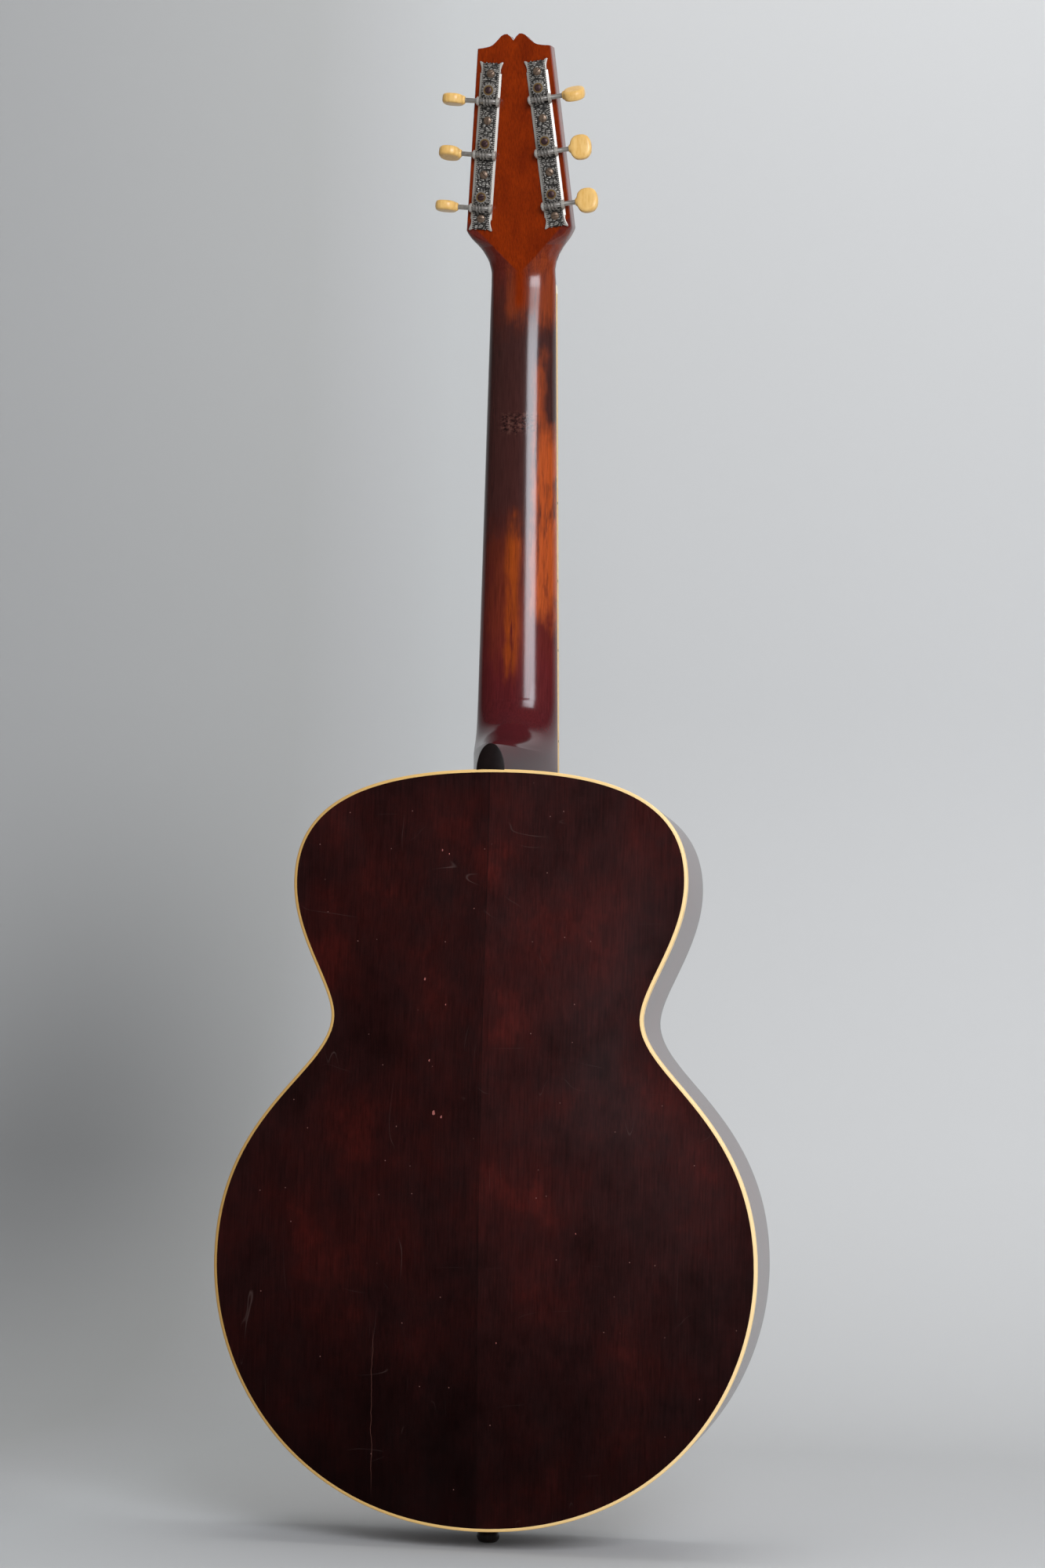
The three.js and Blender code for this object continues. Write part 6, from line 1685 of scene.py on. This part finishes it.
@dataclass
class Fittings:
    """Bridge, tailpiece, strings, pickguard, end pin and truss-rod cover."""

    body: Body
    tuners: Tuners
    spread_at_nut: float = 35.6
    spread_at_saddle: float = 52.0
    diameters: tuple = (0.3, 0.41, 0.61, 0.81, 1.07, 1.35)
    hinge: Pair = (44.7, 6.0)
    base_width: float = 142.0
    base_length: float = 12.0
    base_chamfer: float = 1.4
    base_lift: float = 2.2
    base_tip: float = 2.2
    foot_length: float = 34.0
    post_offset: float = 37.0
    crown_rise: float = 10.5
    saddle_rise: float = 7.855
    saddle_width: float = 112.0
    saddle_length: float = 7.0
    saddle_gap: float = 2.4
    saddle_tip: float = 3.6
    saddle_steps: tuple = (-1.0, 0.6, -0.4, 0.9, 0.1, -0.9)
    wheel_radius: float = 8.0
    wheel_thickness: float = 1.8
    guard_width: float = 44.0
    guard_heights: Pair = (2.4, 4.6)
    guard_above_board_end: float = 12.9
    guard_above_saddle: float = 24.65
    strap_down: float = 0.4029
    strap_past_guard: float = 10.26
    tail_length: float = 84.0
    tail_width: float = 66.0
    bar_width: float = 10.0
    bar_thickness: float = 4.6
    arm_half: float = 2.6
    arm_thickness: float = 3.0
    arm_section: tuple = ((1, -0.5), (1, 0.5), (0.6, 1), (-0.6, 1), (-1, 0.5), (-1, -0.5), (-0.6, -1),
                          (0.6, -1))

    def __post_init__(self) -> None:
        """Finds the saddle's crown and the tailpiece's lean."""
        crown = NECK_FRAME @ Vector((0, self.crown_rise, -SCALE_LENGTH - STRING_COMPENSATION))
        self.crown = Vector((0, crown.y, crown.z - PIN_REACH))
        self.base_top = self.crown.y - self.saddle_rise
        self.lean = math.atan2(self.crown.y - self.hinge[0], self.crown.z - self.hinge[1])

    def build(self) -> None:
        """Makes every fitting."""
        self.bridge()
        self.tailpiece()
        self.end_pin()
        self.guard()
        self.truss_cover()
        for number in range(1, 7):
            self.string(number)

    def bridge(self) -> None:
        """Makes the bridge's base, saddle, posts and thumbwheels."""
        bm = bmesh.new()
        half, steps = self.base_width / 2, 44
        rings = []
        for i in range(steps + 1):
            x = mix(-half, half, i / steps)
            inner = half - self.foot_length
            lift = self.base_lift * ease((inner - abs(x)) / 5 + 0.5)
            crown = half - self.foot_length / 2
            rise = ease((half - abs(x)) / (half - crown) * 0.9 + 0.1)
            z = (self.crown.z - self.base_length / 2, self.crown.z + self.base_length / 2)
            low = [self.body.surface(x, at) + 0.05 + lift for at in z]
            high = mix(low[0] + self.base_tip, self.base_top, rise)
            inset = self.base_chamfer
            rings.append([(x, low[0], z[0]), (x, high - 1.2, z[0]), (x, high, z[0] + inset),
                          (x, high, z[1] - inset), (x, high - 1.2, z[1]), (x, low[1], z[1])])
        loft(bm, rings)
        finished(bm, "bridge_foot", CROSS_ROSEWOOD, ["bridge_base"], at=BODY_FRAME)
        self.saddle()
        for side in Side:
            self.wheel(side)
            x = side.value * self.post_offset
            post = bmesh.new()
            spin_profile(post, [(0, -3.4), (1.5, -3.4), (1.5, 6.2), (0, 6.2)], 24,
                         turned("X", -90, (x, self.base_top, self.crown.z)))
            name = f"{side.name.lower()}_bridge_post"
            finished(post, name + "_turned", BRASS, [name], at=BODY_FRAME)

    def saddle(self) -> None:
        """Makes the saddle, with a stepped crown that sets each string's length."""
        bm = bmesh.new()
        half, deep, steps = self.saddle_width / 2, self.saddle_length / 2, 56
        low, high = self.base_top + self.saddle_gap, self.crown.y - 0.3
        pitch = self.spread_at_saddle / 5
        stepped = 3 * pitch
        rings = []
        for i in range(steps + 1):
            x = mix(-half, half, i / steps)
            top = mix(low + self.saddle_tip, high, ease((half - abs(x)) / 9))
            shift = self.saddle_steps[int((x + stepped) / pitch)] if abs(x) < stepped else 0.0
            rings.append([(x, low, self.crown.z - deep), (x, top - 1.9, self.crown.z - deep),
                          (x, top, self.crown.z - 0.8 + shift), (x, top, self.crown.z + 0.8 + shift),
                          (x, top - 1.9, self.crown.z + deep), (x, low, self.crown.z + deep)])
        loft(bm, rings)
        finished(bm, "compensated_saddle", CROSS_ROSEWOOD, ["bridge_saddle"], "saddle", BODY_FRAME)

    def wheel(self, side: Side) -> None:
        """Makes a knurled thumbwheel, its edge cut by pulling in every other facet."""
        bm = bmesh.new()
        edge = [(x * grow, z * grow) for (x, z), grow in
                zip(circle_points(self.wheel_radius, 96), (0.965, 1.0) * 48)]
        thick, chamfer = self.wheel_thickness, 0.3
        loft(bm, [[(x * grow, level, z * grow) for x, z in edge] for level, grow in
                  ((0.0, 0.93), (chamfer, 1.0), (thick - chamfer, 1.0), (thick, 0.93))])
        place = BODY_FRAME @ Matrix.Translation((side.value * self.post_offset, self.base_top + 0.3,
                                                 self.crown.z))
        name = side.name.lower()
        finished(bm, f"{name}_knurled_wheel", BRASS, [f"{name}_thumbwheel"], f"{name}_wheel", place,
                 sharp=20)

    def tail_frame(self) -> Matrix:
        """The tailpiece's frame: Z from its hinge to its crossbar."""
        return BODY_FRAME @ turned("X", -math.degrees(self.lean), (0, *self.hinge))

    def tailpiece(self) -> None:
        """Makes the trapeze with its crossbar, and its hinged bracket on the end block."""
        bm = bmesh.new()
        wide, start, thick = self.tail_width / 2, self.tail_length - self.bar_width, self.bar_thickness / 2
        for side in (1, -1):
            places = ((3.2, 4.0), (8.0, 12.0), (18.5, 42.0), (30.0, start + 3))
            centres = [Vector((side * x, z)) for x, z in places]
            section = [(self.arm_half * c, self.arm_thickness / 2 * s) for c, s in self.arm_section]
            loft(bm, [[(x + way.y * across, y, z - way.x * across) for across, y in section]
                      for (x, z), way in zip(centres, directions(centres))])
        block(bm, (-wide, -thick, start), (wide, thick, self.tail_length), rounding=1.1, segments=4)
        block(bm, (-5.4, -1.55, 0), (5.4, 1.55, 6.5), rounding=0.5)
        spin_profile(bm, [(0, -5.5), (2.4, -5.5), (2.4, 5.5), (0, 5.5)], 32, turned("Y", 90))
        finished(bm, "trapeze_tailpiece", NICKEL, ["tailpiece_frame"], "tailpiece",
                 self.tail_frame())
        self.bracket()

    def bracket(self) -> None:
        """Makes the bent strap that holds the tailpiece, with its two hinge barrels."""
        bm = bmesh.new()
        half, over, thick = 12.0, BODY_DEPTH / 2 + 0.3, 1.2
        path = [(-9.0, -0.3), (over - 1.0, -0.3), (over - 0.3, 0.0), (over, 0.8), (over, 6.0)]
        outer = [(-9.0, -1.5), (over - 0.2, -1.5), (over + 0.8, -1.1), (over + thick, 0.0),
                 (over + thick, 6.0)]
        lap = [*path, *reversed(outer)]
        loft(bm, [[(-half, y, z) for y, z in lap], [(half, y, z) for y, z in lap]])
        for x in (-half, 5.8):
            spin_profile(bm, [(0, 0), (2.4, 0), (2.4, 6.2), (0, 6.2)], 32, turned("Y", 90, (x, *self.hinge)))
        finished(bm, "tail_bracket_strap", NICKEL, ["tailpiece_bracket"], at=BODY_FRAME)
        pin = bmesh.new()
        spin_profile(pin, [(0, -12), (1.0, -12), (1.2, -11.8), (1.2, 11.8), (1.0, 12), (0, 12)], 20,
                     turned("Y", 90, (0, *self.hinge)))
        finished(pin, "hinge_rod", STEEL, ["tailpiece_hinge_pin"], at=BODY_FRAME)

    def end_pin(self) -> None:
        """Makes the turned end pin."""
        bm = bmesh.new()
        profile = [(0, -PIN_REACH), (3.6, -PIN_REACH), (4.8, -12.1), (6.0, -11.4), (6.9, -10.0),
                   (7.2, -8.6), (7.0, -7.2), (6.4, -6.0), (5.6, -5.1), (5.3, -4.4), (5.5, -3.6),
                   (5.6, -2.6), (5.5, -1.85), (4.0, -1.8), (4.0, 0.0), (3.4, 22.0), (0, 22.0)]
        spin_profile(bm, profile, 56)
        finished(bm, "turned_end_pin", EBONY, ["end_pin"], at=BODY_FRAME)

    def guard(self) -> None:
        """Makes the pickguard and its bent bracket."""
        board_end = fret_place(LAST_FRET) + BOARD_OVERHANG
        inner = board_half_width(board_end) + 0.3
        width, (low, high) = self.guard_width, self.guard_heights
        top = self.guard_above_board_end - board_end
        bottom = self.guard_above_saddle - SCALE_LENGTH - STRING_COMPENSATION
        shares = [(0.0, 0.0), (0.62, 0.0), (0.78, 0.02), (0.9, 0.08), (0.97, 0.17), (1.0, 0.3), (0.99, 0.46),
                  (0.94, 0.63), (0.85, 0.78), (0.72, 0.9), (0.6, 0.97), (0.46, 1.0), (0.0, 1.0)]
        points = [(-inner - out * width, mix(top, bottom, down)) for out, down in shares]
        bm = bmesh.new()
        slab(bm, points, low, high, rounding=0.6, segments=3)
        finished(bm, "celluloid_pickguard", TORTOISE, ["pickguard"], at=NECK_FRAME)
        under = NECK_FRAME @ Vector((0, low, mix(top, bottom, self.strap_down)))
        z = under.z - PIN_REACH
        far = -inner - width - self.strap_past_guard
        near, foot_y = far + 9, self.body.surface(far + 6, z)
        path = [(far, self.body.surface(far, z) + 0.1), (near - 1.5, self.body.surface(near, z) + 0.1),
                (near - 0.3, foot_y + 1.2), (near, under.y - 3.0), (near + 1.5, under.y - 1.4),
                (near + 28, under.y - 1.4)]
        centres = [Vector(p) for p in path]
        arm = bmesh.new()
        loft(arm, [[(x - way.y * thick, y + way.x * thick, z + end)
                    for thick, end in ((0, -4), (0, 4), (1.2, 4), (1.2, -4))]
                   for (x, y), way in zip(centres, directions(centres))])
        finished(arm, "guard_bracket_strap", NICKEL, ["pickguard_bracket"], at=BODY_FRAME)

    def truss_cover(self) -> None:
        """Makes the bell-shaped cover over the truss rod's nut, with its three screws."""
        half, length = 12.5, 38.0
        right = [tuple(p) for p in interpolate_bezier(Vector((half, 0.3)), Vector((half * 0.75, 8)),
                                                      Vector((half * 0.62, 24)), Vector((0, length)), 16)]
        outline = [*right, *[(-x, z) for x, z in reversed(right[:-1])]]
        bm = bmesh.new()
        slab(bm, outline, VENEER_FRONT + 0.02, VENEER_FRONT + 1.9, rounding=0.5, segments=3)
        finished(bm, "truss_cover_plate", COVER, ["truss_rod_cover"], at=HEAD_FRAME)
        screws = bmesh.new()
        for x, z in ((0, 31.0), (-8.6, 4.0), (8.6, 4.0)):
            screw_head(screws, turned("X", -90, (x, VENEER_FRONT + 1.85, z)), 1.7, 0.8, 30 + x * 7)
        finished(screws, "truss_cover_screws", NICKEL, at=HEAD_FRAME)

    def wire(self, bm: bmesh.types.BMesh, route: Sequence[Vector], radius: float) -> None:
        """Lofts a round wire along a route.

        Args:
            bm: the mesh to draw in.
            route: the points of its middle line.
            radius: the wire's radius.
        """
        rings = []
        across = Vector((1, 0, 0))
        for point, way in zip(route, directions(route)):
            across = (across - way * across.dot(way)).normalized()
            up = way.cross(across)
            rings.append([tuple(point + across * c + up * s) for c, s in circle_points(radius, 8)])
        loft(bm, rings)

    def string(self, number: int) -> None:
        """Makes one string: its tail end, its speaking length, its lead to the post and its windings."""
        radius = self.diameters[number - 1] / 2
        share = (number - 1) / 5 * 2 - 1
        saddle_x, nut_x = share * self.spread_at_saddle / 2, share * self.spread_at_nut / 2
        finish, slot = (PLAIN_WIRE, "steel") if number < 3 else (BRONZE, "bronze")
        tail = self.tail_frame()
        rest = self.bar_thickness / 2 + 0.3
        start, edge = (tail @ Vector((saddle_x, rest + radius, self.tail_length - back)) for back in (5, 0.6))
        crown = BODY_FRAME @ (self.crown + Vector((saddle_x, radius - 0.2, 0)))
        nut = [NECK_FRAME @ Vector((nut_x, y + radius, z)) for y, z in ((7.3, 0.2), (7.3, 1.8), (6.6, 3.6))]
        side, gear = self.tuners.tuner(number)
        around = self.tuners.post_radius + 0.1 + radius
        place = self.tuners.frame(side)
        high = VENEER_FRONT + self.tuners.post_reach - self.tuners.hole_drop
        wraps = []
        for i in range(66):
            turn = i / 24
            angle = -side.value * math.tau * turn
            grip = around - 0.35 * ease(turn / 1.4)
            wraps.append(place @ Vector((-side.value * grip * math.cos(angle),
                                         high - turn * (2 * radius + 0.15),
                                         gear - side.value * grip * math.sin(angle))))
        ball = bmesh.new()
        self.wire(ball, [start, edge, crown], radius)
        spin_profile(ball, [(0, -1.6), (2.0, -1.6), (2.2, -1.3), (2.2, 1.3), (2.0, 1.6), (0, 1.6)], 20,
                     tail @ turned("Y", 90, (saddle_x, rest, self.tail_length - 8.4)))
        name = f"string_{number}"
        finished(ball, name + "_tail", finish, body="tailpiece")
        speaking = bmesh.new()
        self.wire(speaking, [crown.lerp(nut[0], i / 24) for i in range(25)], radius)
        piece = finished(speaking, name + "_speaking_length", finish, [name], body="")
        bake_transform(piece)
        lead = bmesh.new()
        self.wire(lead, [*nut, wraps[0]], radius)
        finished(lead, name + "_lead", finish)
        coil = bmesh.new()
        self.wire(coil, wraps, radius)
        finished(coil, name + "_winding", finish, body=name + "_post")


class Inside:
    """The pieces inside the body and the neck. They keep their own solids and get a finish only."""

    spruce = ("bass_back_lining", "treble_back_lining", "bass_top_lining", "treble_top_lining",
              "transverse_brace")
    mahogany = ("neck_block", "tail_block")

    def build(self) -> None:
        """Gives the inner pieces their bare wood and metal."""
        for node in self.spruce:
            dress(node, SPRUCE)
        for node in self.mahogany:
            dress(node, MAHOGANY)
        dress("truss_rod", STEEL)
        dress("truss_rod_nut", BRASS)


# Studio


@dataclass
class Lamp:
    """A soft rectangular lamp that faces a point."""

    name: str
    at: Point
    aim: Point
    size: Pair
    power: float
    colour: str = "ffffff"
    mirrored: bool = False
    lights_paper: bool = True

    def build(self) -> None:
        """Adds the lamp. One that leaves the paper alone lights a collection of the guitar's pieces."""
        data = bpy.data.lights.new(self.name, "AREA")
        data.shape, data.size, data.size_y = "RECTANGLE", self.size[0] * MM, self.size[1] * MM
        data.energy = self.power
        data.color = linear(self.colour)[:3]
        lamp = bpy.data.objects.new(self.name, data)
        lamp.location = Vector(self.at) * MM
        lamp.visible_camera = False
        lamp.visible_glossy = self.mirrored
        lamp.rotation_euler = (Vector(self.aim) - Vector(self.at)).to_track_quat("-Z", "Y").to_euler()
        bpy.context.scene.collection.objects.link(lamp)
        if not self.lights_paper:
            pieces = bpy.data.collections.new("lit_by_" + self.name)
            for piece in bpy.context.scene.objects:
                if piece.type == "MESH" and piece.name != "paper_sweep":
                    pieces.objects.link(piece)
            lamp.light_linking.receiver_collection = pieces


@dataclass
class Studio:
    """Camera, lamps, pale floor and backdrop."""

    location: Point = (339.006, -1751.684, 283.886)
    yaw: float = 0.183902
    pitch: float = 0.110159
    roll: float = -0.018474
    lens: float = 63.418
    paper_width: float = 7200.0
    paper_height: float = 3600.0
    paper_front: float = -3200.0
    paper_bend_start: float = 500.0
    paper_bend: float = 700.0
    # The paper's grey from left to right: a painted light falloff, darker to the left
    paper_light_falloff_tones: tuple = ((0.0, "b4b5b5"), (0.27, "b6b7b6"), (0.34, "bdbebe"), (0.42, "c4c6c6"),
                          (0.6, "c6c7c7"), (1.0, "c8c9c9"))
    lamps: tuple = (
        Lamp("key_softbox", (908, -1782, 1120), (0, 0, 520), (920, 850), 27, "f4f7ff", mirrored=True),
        Lamp("key_wash", (908, -1782, 800), (0, 0, 500), (1500, 1500), 17, "fbfbff"),
        Lamp("side_wash", (1900, -500, 900), (0, 0, 450), (1200, 1600), 9),
        Lamp("fill_wash", (-1700, -1300, 700), (0, 0, 450), (1600, 1800), 5),
        Lamp("wall_wash", (300, 100, 2700), (-100, 1200, 300), (2000, 800), 26),
        Lamp("front_wash", (-500, 1000, 1750), (0, 0, 420), (1500, 700), 22, lights_paper=False),
    )

    def build(self) -> None:
        """Adds the camera, the lamps and the surroundings."""
        self.camera()
        self.surroundings()
        for lamp in self.lamps:
            lamp.build()
        bpy.context.scene.view_settings.view_transform = "Standard"

    def camera(self) -> None:
        """Adds the camera at the photograph's place."""
        turn = (Matrix.Rotation(self.yaw, 3, "Z") @ Matrix.Rotation(self.pitch, 3, "X")
                @ Matrix.Rotation(self.roll, 3, "Y"))
        right, ahead, up = (turn.col[i] for i in range(3))
        matrix = Matrix((right, up, -ahead)).transposed().to_4x4()
        matrix.translation = Vector(self.location) * MM
        data = bpy.data.cameras.new("camera")
        data.lens, data.sensor_width, data.sensor_fit = self.lens, 36.0, "AUTO"
        data.clip_start, data.clip_end = 0.05, 50.0
        camera = bpy.data.objects.new("camera", data)
        camera.matrix_world = matrix
        bpy.context.scene.collection.objects.link(camera)
        bpy.context.scene.camera = camera

    def surroundings(self) -> None:
        """Adds the swept floor and backdrop, and a pale world."""
        bm = bmesh.new()
        bend, start = self.paper_bend, self.paper_bend_start
        profile = [(self.paper_front, 0.0), (start, 0.0)]
        profile += [(start + bend * math.sin(t), bend * (1 - math.cos(t))) for t in
                    (math.pi / 2 * i / 12 for i in range(1, 13))]
        profile += [(start + bend, self.paper_height)]
        edges = new_loop(bm, [(-self.paper_width / 2, y, z) for y, z in profile], closed=False)
        made = bmesh.ops.extrude_edge_only(bm, edges=edges)["geom"]
        far = [v for v in made if isinstance(v, bmesh.types.BMVert)]
        bmesh.ops.translate(bm, vec=(self.paper_width, 0, 0), verts=far)
        to_metres(bm)
        bmesh.ops.reverse_faces(bm, faces=bm.faces)
        for f in bm.faces:
            f.smooth = True
        sweep = placed(bm, "paper_sweep")
        sweep.data.materials.append(self.paper())
        world = bpy.data.worlds.new("studio_air")
        bpy.context.scene.world = world
        world.use_nodes = True
        sky = Nodes(world.node_tree)
        ray = sky.add("LightPath").outputs
        level = sky.add("MapRange", {"Value": ray["Is Glossy Ray"], "To Min": 0.3, "To Max": 0.05})
        seen = sky.add("Mix", {"A": level, "B": 0.62, "Factor": ray["Is Camera Ray"]})
        air = sky.add("Background", {"Color": linear("d9dada"), "Strength": seen})
        sky.add("OutputWorld", {"Surface": air})

    def paper(self) -> bpy.types.Material:
        """The matt grey paper of the sweep: lighter to the right as a painted light falloff, with the guitar
        body's soft shadow painted low down on the left, and dark in reflections where it lies before the
        guitar. It is clear from the back, so that the guitar's front can be looked at too."""
        made = bpy.data.materials.new("matt_backdrop_paper")
        made.use_nodes = True
        on = Surface(made.node_tree, {"Roughness": 0.9})
        behind = on.add("NewGeometry").outputs["Backfacing"]
        one_way = on.add("MixShader", {0: behind, 1: on.shader, 2: on.add("BsdfTransparent")})
        on.add("OutputMaterial", {"Surface": one_way})
        # The grey rises from left to right: a painted light falloff
        across = on.add("MapRange", {"Value": on.x, "From Min": -770.0, "From Max": 350.0})
        grey = on.add("ValToRGB", {"Fac": across}, self.paper_light_falloff_tones)
        # A soft dark patch low on the left wall: the guitar body's shadow, painted in colour 4a4a4b
        shade = []
        for part, middle, reach in ((on.x, -665.0, 430.0), (on.z, 180.0, 560.0)):
            away = on.add("Math", {0: part, 1: middle}, operation="SUBTRACT")
            far = on.add("Math", {0: away}, operation="ABSOLUTE")
            shade.append(on.add("MapRange", {"Value": far, "From Min": reach, "From Max": 0.0},
                                interpolation_type="SMOOTHSTEP"))
        wall = on.add("MapRange", {"Value": on.y, "From Min": 500.0, "From Max": 1000.0})
        level = on.add("MapRange", {"Value": wall, "To Min": 0.87})
        toned = on.add("VectorMath", {0: grey, 3: level}, operation="SCALE")
        # Lays the painted shadow over the paper
        with_painted_shadow = on.over(toned, "4a4a4b", on.times(*shade, wall), 0.6)
        before = on.add("MapRange", {"Value": on.y, "From Min": 0.0, "From Max": -120.0})
        mirror = on.add("LightPath").outputs["Is Glossy Ray"]
        on.feed("Base Color", on.over(with_painted_shadow, "101010", on.times(before, mirror)))
        return made


def main() -> None:
    """Builds the guitar around its frame, class by class."""
    logging.basicConfig(level=logging.INFO, format="%(name)s %(message)s")
    outline = BodyOutline()
    plate_edge = outline.inset(PLATE_INSET)
    body = Body(outline, Arch(plate_edge, TOP_ARCH), Arch(plate_edge, BACK_ARCH))
    tuners = Tuners()
    for assembly in (Studio(), body, Neck(body), Fingerboard(), tuners, Fittings(body, tuners), Inside()):
        assembly.build()
        LOG.info("%s is built", type(assembly).__name__)


if __name__ == "__main__":
    main()
